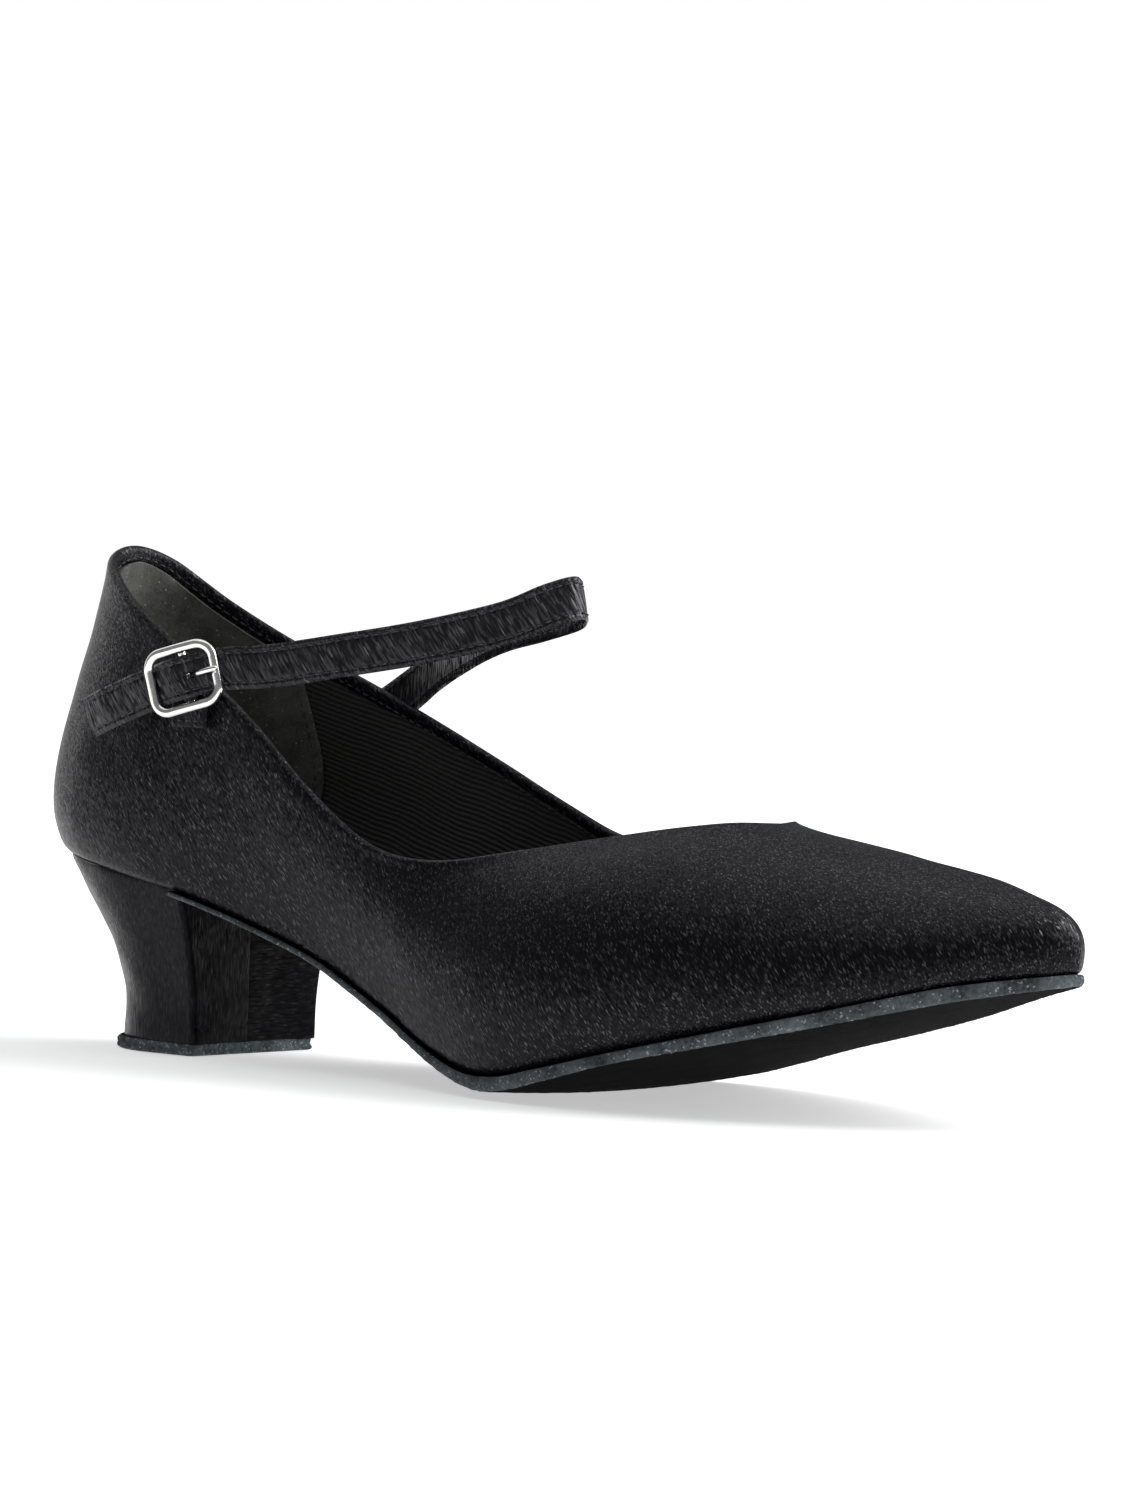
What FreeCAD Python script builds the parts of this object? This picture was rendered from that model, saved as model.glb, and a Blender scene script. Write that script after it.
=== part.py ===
import FreeCAD, Part
import Sketcher
import math
import os

from FreeCAD import Placement, Rotation, Vector

# Right-foot ballroom court shoe with an instep strap, a low Cuban heel and a suede sole.
# Frame: +X towards the toe, +Y medial, -Y lateral (buckle side), +Z up.
# The origin is the middle of the heel's tread, on the ground. Millimetres.

doc = FreeCAD.newDocument("strap_court_shoe")

# ---------------------------------------------------------------- driving dimensions
DIMENSIONS = {
    "last_length": 235.2,        # heel seat to toe, along the feather line
    "ball_width": 76.5,          # feather line, across the ball
    "counter_height": 98.6,      # ground to the top of the back
    "upper_thickness": 0.9,      # satin with its backing
    "stiffener_thickness": 0.8,  # counter, toe puff and interlining
    "lining_thickness": 0.6,
    "grip_thickness": 0.8,
    "layer_gap": 0.2,            # glue line between two layers
    "board_thickness": 1.8,
    "foam_thickness": 1.4,
    "sock_thickness": 0.9,
    "shank_thickness": 0.8,
    "shank_width": 12.0,
    "lift_thickness": 2.4,
    "lift_radius": 18.0,
    "heel_radius": 17.0,
    "heel_cover_thickness": 0.7,
    "breast_place": 13.7,        # front face of the heel block, ahead of the origin
    "strap_width": 8.0,
    "strap_thickness": 0.9,      # satin face of the strap
    "backing_thickness": 0.6,    # grosgrain back of the strap
    "buckle_length": 15.6,
    "buckle_height": 13.2,
    "buckle_wire": 1.7,
    "buckle_corner": 4.0,
    "bar_radius": 0.8,
    "prong_radius": 0.55,
    "pin_running_gap": 0.06,
    "nail_radius": 0.7,
    "nail_length": 12.0,
    "screw_radius": 2.2,
    "screw_length": 22.0,
    "rivet_radius": 2.0,
    "stitch_radius": 0.25,
    "stitch_length": 2.0,
}
sheet = doc.addObject("Spreadsheet::Sheet", "Dimensions")
for row, (alias, number) in enumerate(DIMENSIONS.items(), start=1):
    sheet.set(f"A{row}", alias)
    sheet.set(f"B{row}", str(number))
    sheet.setAlias(f"B{row}", alias)
doc.recompute()


def size(alias):
    """The value of one cell of the sheet."""
    return float(sheet.get(alias))


# ---------------------------------------------------------------- the last
# The tables give the last at its base size. Each row starts with its station s, which runs
# from -1 at the toe along the lateral side to 0 at the back seam, and on to 1 at the toe
# along the medial side.
BASE_LENGTH, BASE_WIDTH, BASE_HEIGHT = 235.2, 76.5, 98.6
LENGTH_SCALE = size("last_length") / BASE_LENGTH
WIDTH_SCALE = size("ball_width") / BASE_WIDTH
HEIGHT_SCALE = size("counter_height") / BASE_HEIGHT
THROAT = 0.86                   # the station where the topline meets the ridge of the vamp

# Height of the feather line, where the upper meets the sole: (x, z).
FEATHER_HEIGHT = [
    (-40, 39.4), (-29, 38.4), (-12, 36.6), (4, 34.2), (17, 31.9), (35, 27.2), (53, 21.4),
    (62, 17.6), (71, 13.8), (80, 9.9), (89, 6.6), (98, 4.4), (107, 4.4), (117, 6.6),
    (131, 10.2), (151, 15.3), (169, 20.0), (189, 25.6), (207, 28.9)]
# Plan of the feather line: (s, x, y).
LATERAL_FEATHER = [
    (0.07, -26.2, -12.5), (0.14, -16.2, -20.8), (0.22, -2, -25.5), (0.30, 16, -27),
    (0.38, 36, -26.3), (0.46, 55, -26.5), (0.53, 72, -29.3), (0.60, 88, -34),
    (0.67, 106, -38.8), (0.74, 124, -39.5), (0.79, 138, -37.5), (0.83, 148, -34.8),
    (0.86, 156, -31.8), (0.90, 167, -26.8), (0.94, 180, -19.2), (0.97, 193, -10)]
MEDIAL_FEATHER = [
    (0.07, -26.2, 12.5), (0.14, -16.2, 20.5), (0.22, -2, 24.5), (0.30, 16, 25),
    (0.38, 36, 23.5), (0.46, 55, 23.5), (0.53, 72, 26.5), (0.60, 88, 31.5),
    (0.67, 106, 35.8), (0.74, 124, 37), (0.79, 138, 36), (0.83, 148, 34),
    (0.86, 156, 31.7), (0.90, 167, 28), (0.94, 180, 22.3), (0.97, 193, 15.5)]
HEEL_POINT = (0.0, -30.2, 0.0)
TOE_POINT = (1.0, 204, 4.5)
# Topline, from the back to the throat: (s, x, y, z).
BACK_TOP = (0.0, -22.3, 0.0, 98.6)
THROAT_TOP = (0.86, 140, 0.5, 51.9)
LATERAL_TOP = [
    (0.07, -19.4, -10, 96.3), (0.14, -9, -17.5, 90.3), (0.22, 5.5, -22.8, 83.2),
    (0.30, 21, -26.2, 74.9), (0.38, 37, -28.3, 64.9), (0.46, 53.5, -30, 52.8),
    (0.53, 69, -31, 44.4), (0.60, 84, -30.5, 42.6), (0.67, 101, -27, 45.3),
    (0.74, 119, -20.5, 48.8), (0.79, 130.5, -14, 51), (0.83, 137.5, -7.5, 52)]
MEDIAL_TOP = [
    (0.07, -19.4, 9.8, 95.8), (0.14, -10.5, 17.5, 88), (0.22, 2.5, 24, 80),
    (0.30, 18, 27.5, 73.2), (0.38, 34, 29.5, 66.2), (0.46, 51, 30.5, 58.6),
    (0.53, 67, 30.5, 51.6), (0.60, 83, 29, 46.2), (0.67, 101, 25, 46),
    (0.74, 118, 19.5, 49), (0.79, 130, 14, 51), (0.83, 137, 8, 52)]
# Ridge of the vamp, from the throat to the toe: (s, x, y, z).
RIDGE = [
    (0.86, 140, 0.5, 51.9), (0.90, 154, 4, 49.3), (0.94, 169, 5.4, 46.8),
    (0.97, 182, 5.8, 44.6), (1.00, 194.5, 5.2, 41.2)]
# Fullness of the upper's ribs: (|s|, low bulge outwards, its height as a share of the rise,
# high bulge outwards, its drop below the top edge).
FULLNESS = [
    (0.00, 9.0, 0.22, 3.8, 29), (0.10, 7.1, 0.25, 4.0, 24), (0.22, 3.5, 0.30, 2.5, 18.5),
    (0.40, 3.0, 0.35, 2.0, 13), (0.53, 3.5, 0.40, 2.0, 9.5), (0.62, 4.5, 0.45, 6.0, 8.5),
    (0.72, 5.0, 0.50, 12.0, 6.0), (0.80, 5.0, 0.55, 16.0, 3.3), (0.86, 4.5, 0.58, 18.0, 1.3),
    (0.93, 3.5, 0.60, 13.0, 1.6), (1.00, 1.8, 0.60, 7.5, 2.4)]


def smooth(knots, at):
    """A smooth curve through the knots, whose first column is the parameter."""
    if at <= knots[0][0]:
        return list(knots[0][1:])
    if at >= knots[-1][0]:
        return list(knots[-1][1:])
    i = max(j for j in range(len(knots) - 1) if knots[j][0] <= at)
    span = knots[i + 1][0] - knots[i][0]
    w = (at - knots[i][0]) / span

    def slope(j, column):
        low, high = max(j - 1, 0), min(j + 1, len(knots) - 1)
        before, here, after = knots[low], knots[j], knots[high]
        if low == j or high == j:
            return (after[column] - before[column]) / (after[0] - before[0])
        left, right = here[0] - before[0], after[0] - here[0]
        return ((here[column] - before[column]) / left * right
                + (after[column] - here[column]) / right * left) / (left + right)

    values = []
    for column in range(1, len(knots[0])):
        start, end = knots[i][column], knots[i + 1][column]
        rise_in, rise_out = slope(i, column) * span, slope(i + 1, column) * span
        values.append((2 * w**3 - 3 * w**2 + 1) * start + (w**3 - 2 * w**2 + w) * rise_in
                      + (3 * w**2 - 2 * w**3) * end + (w**3 - w**2) * rise_out)
    return values


def mirrored(rows):
    """The same rows at negative stations, in rising order."""
    return [(-row[0],) + tuple(row[1:]) for row in reversed(rows)]


def closed_feather():
    """The feather line as one closed curve: a few rows repeat past the toe at each end."""
    toe = [TOE_POINT]
    ring = mirrored(LATERAL_FEATHER + toe) + [HEEL_POINT] + MEDIAL_FEATHER + toe
    before = [(s - 2, x, y) for s, x, y in ring[-4:-1]]
    after = [(s + 2, x, y) for s, x, y in ring[1:4]]
    return before + ring + after


FEATHER = closed_feather()
TOPLINE = mirrored(LATERAL_TOP + [THROAT_TOP]) + [BACK_TOP] + MEDIAL_TOP + [THROAT_TOP]


def feather_height(x):
    return smooth(FEATHER_HEIGHT, x / LENGTH_SCALE)[0] * HEIGHT_SCALE


def feather_plan(s):
    x, y = smooth(FEATHER, s)
    return x * LENGTH_SCALE, y * WIDTH_SCALE


def feather_outward(s):
    """Unit vector in plan, square to the feather line and away from the foot."""
    step = 0.001
    (x0, y0), (x1, y1) = feather_plan(s - step), feather_plan(s + step)
    return Vector(-(y1 - y0), x1 - x0, 0).normalize()


def rib(s):
    """The four control points of the upper's rib at station s, from the feather line up."""
    x, y = feather_plan(s)
    foot = Vector(x, y, feather_height(x))
    table = TOPLINE if abs(s) <= THROAT else RIDGE
    tx, ty, tz = smooth(table, s if table is TOPLINE else abs(s))
    head = Vector(tx * LENGTH_SCALE, ty * WIDTH_SCALE, tz * HEIGHT_SCALE)
    low, share, high, drop = smooth(FULLNESS, abs(s))
    outward = feather_outward(s)
    belly = foot + outward * low + Vector(0, 0, share * (head.z - foot.z))
    brow = head + outward * high - Vector(0, 0, drop)
    return foot, belly, brow, head


def skin(s, v):
    """A point of the upper's outer face: v is 0 on the feather line and 1 on the top edge."""
    foot, belly, brow, head = rib(s)
    u = 1 - v
    return foot * u**3 + belly * (3 * u * u * v) + brow * (3 * u * v * v) + head * v**3


def skin_normal(s, v):
    """Outward unit normal of the upper's outer face."""
    def one_side(at):
        step = 0.002
        low, high = max(v - step, 0), min(v + step, 1)
        along = skin(at + step, v) - skin(at - step, v)
        up = skin(at, high) - skin(at, low)
        return up.cross(along).normalize()

    normal = one_side(s)
    on_ridge = v > 0.999 and abs(s) >= THROAT
    on_toe = abs(s) > 0.999
    if on_ridge or on_toe:
        normal = (normal + one_side(-s)).normalize()
    return normal


def layer_point(s, v, depth):
    """A point at the given depth inside the upper's outer face."""
    return skin(s, v) - skin_normal(s, v) * depth


# ---------------------------------------------------------------- surfaces and solids
def spread(start, end, count):
    return [start + (end - start) * i / (count - 1) for i in range(count)]


def spline_face(poles):
    """A smooth face steered by a grid of poles, clamped at its four edges."""
    def knot_vector(count):
        degree = min(3, count - 1)
        inner = count - degree - 1
        return degree, [degree + 1] + [1] * inner + [degree + 1], list(range(inner + 2))

    degree_u, mults_u, knots_u = knot_vector(len(poles))
    degree_v, mults_v, knots_v = knot_vector(len(poles[0]))
    surface = Part.BSplineSurface()
    surface.buildFromPolesMultsKnots(poles, mults_u, mults_v, knots_u, knots_v,
                                     False, False, degree_u, degree_v)
    return surface.toShape()


def closed_solid(faces):
    """One solid from faces that share their borders."""
    shell = Part.Shell(faces)
    shell.sewShape(0.01)
    solid = Part.Solid(shell)
    if solid.Volume < 0:
        solid.reverse()
    return solid


def patch_faces(outer, inner, free_edges):
    """The two skins of a patch, and a narrow face along each of its free edges."""
    edges = {
        "start": (outer[0], inner[0]),
        "end": (outer[-1], inner[-1]),
        "low": ([row[0] for row in outer], [row[0] for row in inner]),
        "high": ([row[-1] for row in outer], [row[-1] for row in inner]),
    }
    faces = [spline_face(outer), spline_face(inner)]
    return faces + [spline_face(list(edges[name])) for name in free_edges]


def patch_solid(outer, inner):
    return closed_solid(patch_faces(outer, inner, ("start", "end", "low", "high")))


def add_feature(label, shape):
    """A sub-part whose shape is set here, in the shoe's frame."""
    feature = doc.addObject("Part::Feature", label)
    feature.Label = label
    feature.Shape = shape
    feature.Placement = Placement()
    return feature


# ---------------------------------------------------------------- upper and its layers
WALL = [0.0, 0.04, 0.12, 0.24, 0.37, 0.5, 0.63, 0.76, 0.88, 1.0]
SPINE_REAR, SPINE_FRONT = -10.0, 182.0
FLANGE = [0.34, 0.2, 0.07]      # shares of the way from the feather line to the spine


def spine_point(s):
    """The middle of the sole abreast of station s, where the lasted margin points."""
    x, y = feather_plan(s)
    far_y = feather_plan(-s)[1]
    x = min(max(x, SPINE_REAR * LENGTH_SCALE), SPINE_FRONT * LENGTH_SCALE)
    return Vector(x, (y + far_y) / 2, 0)


def flange_point(s, share, lift):
    """A point of the margin that is turned in under the insole board."""
    x, y = feather_plan(s)
    point = Vector(x, y, 0)
    point = point + (spine_point(s) - point) * share
    point.z = feather_height(point.x) + lift
    return point


def lasted_grid(stations, depth):
    """Wall and turned-in margin of the upper, as one grid of poles."""
    grid = []
    for s in stations:
        column = [flange_point(s, share, depth) for share in FLANGE]
        corner = layer_point(s, WALL[0], depth)
        corner.z = max(corner.z, feather_height(corner.x) + depth)
        column.append(corner)
        column += [layer_point(s, v, depth) for v in WALL[1:]]
        grid.append(column)
    return grid


def make_upper():
    """Satin outer: two quarters and the vamp's two halves, sewn into one shell."""
    thickness = size("upper_thickness")
    faces = []
    for side in (-1, 1):
        quarter = [side * s for s in spread(0, THROAT, 34)]
        vamp = [side * s for s in spread(THROAT, 1, 14)]
        faces += patch_faces(lasted_grid(quarter, 0), lasted_grid(quarter, thickness),
                             ("low", "high"))
        faces += patch_faces(lasted_grid(vamp, 0), lasted_grid(vamp, thickness), ("low",))
    return closed_solid(faces)


def layer_grid(stations, low, high, depth, rows=9):
    """Poles of a layer; low and high give its edges at each station."""
    return [[layer_point(s, v, depth) for v in spread(low(s), high(s), rows)]
            for s in stations]


def full_layer(low, high, outer_depth, inner_depth):
    """A layer that lines the whole upper, under its own thickness."""
    faces = []
    for side in (-1, 1):
        quarter = [side * s for s in spread(0, THROAT, 34)]
        vamp = [side * s for s in spread(THROAT, 1, 14)]
        for stations, free in ((quarter, ("low", "high")), (vamp, ("low",))):
            faces += patch_faces(layer_grid(stations, low, high, outer_depth),
                                 layer_grid(stations, low, high, inner_depth), free)
    return closed_solid(faces)


STIFFENER_DEPTH = size("upper_thickness") + size("layer_gap")
LINING_DEPTH = STIFFENER_DEPTH + size("stiffener_thickness") + size("layer_gap")
GRIP_DEPTH = LINING_DEPTH + size("lining_thickness") + size("layer_gap")
COUNTER_REACH = 0.27            # station where the heel counter ends
INTERLINING_START = 0.275
PUFF_START = 0.935              # station where the toe puff starts
GRIP_REACH = 0.235


def level(value):
    return lambda s: value


def counter_top(s):
    """The counter is high at the back and runs down to its ends."""
    return 0.86 - 0.55 * (abs(s) / COUNTER_REACH) ** 2.2


def make_counter():
    stations = spread(-COUNTER_REACH, COUNTER_REACH, 27)
    grids = [layer_grid(stations, level(0.05), counter_top, depth)
             for depth in (STIFFENER_DEPTH, STIFFENER_DEPTH + size("stiffener_thickness"))]
    return patch_solid(*grids)


def margin_low(s):
    """Bottom edge of the lining: it clears the insole board, also at the low toe."""
    return 0.1 + 0.1 * max(0.0, (abs(s) - 0.8) / 0.2)


def lining_high(s):
    """Top edge of the lining: just under the topline, and up to the ridge on the vamp."""
    return 0.985 + 0.015 * min(1.0, max(0.0, (abs(s) - 0.8) / (THROAT - 0.8)))


def make_side_band(side):
    """Interlining of one quarter, from the counter to the puff."""
    stations = [side * s for s in spread(INTERLINING_START, THROAT - 0.01, 26)]
    grids = [layer_grid(stations, level(0.05), level(0.97), depth)
             for depth in (STIFFENER_DEPTH, STIFFENER_DEPTH + size("stiffener_thickness"))]
    return patch_solid(*grids)


def make_puff():
    """Toe puff: a stiff cap over the toe, in two halves that meet on the ridge."""
    faces = []
    for side in (-1, 1):
        stations = [side * s for s in spread(PUFF_START, 1, 8)]
        grids = [layer_grid(stations, level(0.14), level(1.0), depth)
                 for depth in (STIFFENER_DEPTH, STIFFENER_DEPTH + size("stiffener_thickness"))]
        faces += patch_faces(*grids, ("start", "low"))
    return closed_solid(faces)


def make_grip():
    """Suede heel grip, sewn inside the back of the lining."""
    stations = spread(-GRIP_REACH, GRIP_REACH, 23)
    grids = [layer_grid(stations, level(0.16), level(0.93), depth)
             for depth in (GRIP_DEPTH, GRIP_DEPTH + size("grip_thickness"))]
    return patch_solid(*grids)


FACING_REACH = THROAT - 0.012
FACING_DROP = 2.6               # the facing's lower edge lies this far below the topline
FACING_THICKNESS = 0.5


def make_facing():
    """The folded edge of the satin, turned in and stitched along the topline."""
    stations = spread(-FACING_REACH, FACING_REACH, 80)

    def facing_low(s):
        return 1 - FACING_DROP / (rib(s)[3] - rib(s)[0]).Length

    grids = [layer_grid(stations, facing_low, level(0.998), depth, rows=4)
             for depth in (GRIP_DEPTH, GRIP_DEPTH + FACING_THICKNESS)]
    return patch_solid(*grids)


add_feature("upper_satin", make_upper())
add_feature("heel_counter", make_counter())
add_feature("lateral_interlining", make_side_band(-1))
add_feature("medial_interlining", make_side_band(1))
add_feature("toe_puff", make_puff())
add_feature("upper_lining", full_layer(margin_low, lining_high, LINING_DEPTH,
                                       LINING_DEPTH + size("lining_thickness")))
add_feature("heel_grip", make_grip())
add_feature("topline_facing", make_facing())


# ---------------------------------------------------------------- bottom of the shoe
# Height of the outsole's underside along its middle: (x, z). It touches the ground at the ball.
SOLE_UNDERSIDE = [
    (10, 31.6), (17, 30.2), (35, 25.4), (53, 19.4), (62, 15.4), (71, 11.4), (80, 7.2),
    (89, 3.4), (98, 0.7), (104, 0), (110, 0.7), (119, 3), (131, 6.6), (151, 11.8),
    (169, 16.7), (189, 22.6), (207, 26.8)]
SOLE_CROWN, CROWN_REACH = 1.4, 38.0    # the edges lift by the crown at this reach
SOLE_LIP = 0.5                         # the outsole stands out past the feather line
BOARD_BOTTOM = 1.2                     # heights above the feather line
BOARD_TOP = BOARD_BOTTOM + size("board_thickness")
FOAM_BOTTOM = BOARD_TOP + size("layer_gap")
FOAM_TOP = FOAM_BOTTOM + size("foam_thickness")
SOCK_BOTTOM = FOAM_TOP + size("layer_gap")
SOCK_TOP = SOCK_BOTTOM + size("sock_thickness")
SLAB_REAR, SLAB_FRONT, SLAB_SIDE = -45.0, 215.0, 50.0
PRISM_BOTTOM, PRISM_HEIGHT = -20, 140  # upright prisms reach past the whole shoe
BED = 0.05                             # shank and filler lie this far above the feather line
FILLER_THICKNESS = 0.8


def slab(bottom, top):
    """A curved plate over the whole plan; bottom and top give its heights at (x, y)."""
    def grid(height):
        return [[Vector(x, y, height(x, y)) for y in spread(-SLAB_SIDE, SLAB_SIDE, 9)]
                for x in spread(SLAB_REAR, SLAB_FRONT, 66)]
    return patch_solid(grid(top), grid(bottom))


def above_feather(height):
    return lambda x, y: feather_height(x) + height


def prism(points):
    """An upright prism over a closed smooth outline."""
    curve = Part.BSplineCurve()
    curve.interpolate([Vector(x, y, PRISM_BOTTOM) for x, y in points], True)
    return Part.Face(Part.Wire(curve.toShape())).extrude(Vector(0, 0, PRISM_HEIGHT))


def feather_outline(inset):
    """The feather line's plan, moved in by the inset."""
    points = []
    for s in spread(-1, 1, 73)[:-1]:
        x, y = feather_plan(s)
        outward = feather_outward(s)
        points.append((x - outward.x * inset, y - outward.y * inset))
    return points


def plate(inset, bottom, top):
    """A plate of the bottom stack, between two heights above the feather line."""
    return prism(feather_outline(inset)).common(slab(above_feather(bottom), above_feather(top)))


def front_of(x):
    """A block that keeps what lies ahead of x."""
    return Part.makeBox(300, 200, 200, Vector(x, -100, -50))


def underside(x, y):
    return smooth(SOLE_UNDERSIDE, x)[0] + SOLE_CROWN * (y / CROWN_REACH) ** 2


SOLE_REAR = size("breast_place") + size("heel_cover_thickness") + 0.4
outsole = prism(feather_outline(-SOLE_LIP)).common(slab(underside, above_feather(-0.05)))
outsole = outsole.common(front_of(SOLE_REAR))

# Shank, with the screw and the rivets that go through it.
SHANK_REAR, SHANK_FRONT = -20.0, 58.0
SCREW_PLACE = (-6.0, 0.0)
NAIL_PLACES = [(-15, 9), (-15, -9), (4, 10.5), (4, -10.5)]
RIVET_PLACES = [10.0, 48.0]
HOLE_GAP = 0.15


def rounded_strip(rear, front, width):
    """Upright prism over a strip along X with round ends."""
    half = width / 2
    straight = [Vector(x, y, PRISM_BOTTOM) for x, y in (
        (rear + half, -half), (front - half, -half), (front - half, half), (rear + half, half))]
    front_point, rear_point = Vector(front, 0, PRISM_BOTTOM), Vector(rear, 0, PRISM_BOTTOM)
    edges = [Part.makeLine(straight[0], straight[1]),
             Part.Arc(straight[1], front_point, straight[2]).toShape(),
             Part.makeLine(straight[2], straight[3]),
             Part.Arc(straight[3], rear_point, straight[0]).toShape()]
    return Part.Face(Part.Wire(edges)).extrude(Vector(0, 0, PRISM_HEIGHT))


def upright_peg(radius, x, y, bottom, top):
    return Part.makeCylinder(radius, top - bottom, Vector(x, y, bottom))


HEAD_SINK = 0.5                 # heads stand this far below the top of the insole board


def nail(place, length, radius, head_radius, head_thickness, extra):
    """A nail or screw that points down from the insole board, grown on all sides by extra."""
    x, y = place
    top = feather_height(x) + BOARD_TOP - HEAD_SINK
    body = upright_peg(radius + extra, x, y, top - length - extra, top + extra)
    head = upright_peg(head_radius + extra, x, y, top - head_thickness - extra,
                       top + 3 * extra)
    return body.fuse(head)


def seat_fixings(extra):
    """Seat nails and heel screw, grown by extra for the holes that take them."""
    nails = [nail(place, size("nail_length"), size("nail_radius"), 1.5, 0.6, extra)
             for place in NAIL_PLACES]
    screw = nail(SCREW_PLACE, size("screw_length"), size("screw_radius"), 3.6, 0.9, extra)
    return nails, screw


def rivet_pegs(extra):
    """Tubular rivets, square to the sole where they stand."""
    pegs = []
    for x in RIVET_PLACES:
        step = 1.0
        slope = (feather_height(x + step) - feather_height(x - step)) / (2 * step)
        axis = Vector(-slope, 0, 1).normalize()
        foot = Vector(x, 0, feather_height(x)) + axis * BED
        pegs.append(Part.makeCylinder(size("rivet_radius") + extra,
                                      BOARD_TOP - 0.15 + extra, foot - axis * extra, axis))
    return pegs


hole_nails, hole_screw = seat_fixings(HOLE_GAP)
hole_rivets = rivet_pegs(HOLE_GAP)
board_holes = hole_nails + [hole_screw] + hole_rivets
board = plate(2.7, BOARD_BOTTOM, BOARD_TOP).cut(board_holes)
shank = rounded_strip(SHANK_REAR, SHANK_FRONT, size("shank_width")).common(
    slab(above_feather(BED), above_feather(BED + size("shank_thickness"))))
shank = shank.cut(board_holes)


FILLER_INSET = 0.05              # a further share of the way to the spine


def filler_outline():
    """The hollow inside the lasted margin, ahead of the shank."""
    points = []
    for s in spread(-1, 1, 61)[:-1]:
        point = flange_point(s, FLANGE[0] + FILLER_INSET, 0)
        points.append((point.x, point.y))
    return points


filler = prism(filler_outline()).common(
    slab(above_feather(BED), above_feather(BED + FILLER_THICKNESS)))
filler = filler.common(front_of(SHANK_FRONT + 1.0))

add_feature("outsole", outsole)
add_feature("insole_board", board)
add_feature("shank", shank)
add_feature("bottom_filler", filler)
add_feature("insole_foam", plate(3.6, FOAM_BOTTOM, FOAM_TOP))
add_feature("sock_lining", plate(3.7, SOCK_BOTTOM, SOCK_TOP))
seat_nails, heel_screw = seat_fixings(0)
add_feature("seat_nails", Part.Compound(seat_nails))
add_feature("heel_screw", heel_screw)
add_feature("shank_rivets", Part.Compound(rivet_pegs(0)))


# ---------------------------------------------------------------- heel
# Levels of the heel block: (z, radius as a share of heel_radius, middle of the round back).
HEEL_LEVELS = [(2.45, 1.0, 3.9), (12.7, 1.035, 4.3), (18.1, 1.094, 3.6), (24.4, 1.176, 1.9),
               (31.1, 1.294, -0.6), (41.0, 1.45, -4.2)]


def plane_of(body, role):
    return [f for f in body.Origin.OriginFeatures if f.Role == role][0]


def level_sketch(body, name, height):
    """An empty sketch on the body's XY plane, lifted to a height."""
    sketch = body.newObject("Sketcher::SketchObject", name)
    sketch.AttachmentSupport = (plane_of(body, "XY_Plane"), "")
    sketch.MapMode = "FlatFace"
    sketch.AttachmentOffset = Placement(Vector(0, 0, height), Rotation())
    return sketch


def draw_heel_outline(sketch, radius, middle, breast, radius_cell, breast_cell):
    """Round back, straight flanks and a flat breast; radius and breast follow the sheet."""
    round_back = Part.Circle(Vector(middle, 0, 0), Vector(0, 0, 1), radius)
    sketch.addGeometry(Part.ArcOfCircle(round_back, math.pi / 2, 3 * math.pi / 2), False)
    corners = [Vector(middle, -radius, 0), Vector(breast, -radius, 0),
               Vector(breast, radius, 0), Vector(middle, radius, 0)]
    for start, end in zip(corners, corners[1:]):
        sketch.addGeometry(Part.LineSegment(start, end), False)
    for joint in [("Coincident", 0, 2, 1, 1), ("Coincident", 1, 2, 2, 1),
                  ("Coincident", 2, 2, 3, 1), ("Coincident", 3, 2, 0, 1),
                  ("Horizontal", 1), ("Horizontal", 3), ("Vertical", 2),
                  ("PointOnObject", 0, 3, -1)]:
        sketch.addConstraint(Sketcher.Constraint(*joint))
    at = sketch.addConstraint(Sketcher.Constraint("Radius", 0, radius))
    sketch.setExpression(f"Constraints[{at}]", radius_cell)
    at = sketch.addConstraint(Sketcher.Constraint("DistanceX", -1, 1, 2, 1, breast))
    sketch.setExpression(f"Constraints[{at}]", breast_cell)
    sketch.addConstraint(Sketcher.Constraint("DistanceX", 0, 3, 2, 1, breast - middle))


def cell_value(expression):
    """The value of a sum of sheet cells and plain numbers."""
    total = 0.0
    for term in expression.split("+"):
        term = term.strip()
        total += size(term.split(".")[1]) if term.startswith("Dimensions.") else float(term)
    return total


def heel_loft(name, skin_cell):
    """The heel's outer form, grown on all sides by a skin; skin_cell is its expression."""
    body = doc.addObject("PartDesign::Body", name)
    skin_value = cell_value(skin_cell)
    sketches = []
    for number, (z, share, middle) in enumerate(HEEL_LEVELS):
        sketch = level_sketch(body, f"{name}_level_{number}", z)
        draw_heel_outline(sketch, size("heel_radius") * share + skin_value, middle,
                          size("breast_place") + skin_value,
                          f"Dimensions.heel_radius * {share} + {skin_cell}",
                          f"Dimensions.breast_place + {skin_cell}")
        sketches.append(sketch)
    loft = body.newObject("PartDesign::AdditiveLoft", f"{name}_loft")
    loft.Profile = sketches[0]
    loft.Sections = sketches[1:]
    body.Tip = loft
    return body


def cut_of(label, base, tool):
    """Part::Cut of two objects."""
    cut = doc.addObject("Part::Cut", label)
    cut.Base = base
    cut.Tool = tool
    cut.Label = label
    return cut


COVER_INNER_GAP = "0.05"
CLEAR_OF_HEEL = 70              # a height above the whole heel
BREAST_SEAM_Y = -4.0            # where the cover's raw edge meets the breast piece
block_form = heel_loft("heel_block_form", "0")
inner_form = heel_loft("heel_inner_form", COVER_INNER_GAP)
outer_form = heel_loft("heel_outer_form", "Dimensions.heel_cover_thickness")

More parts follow.
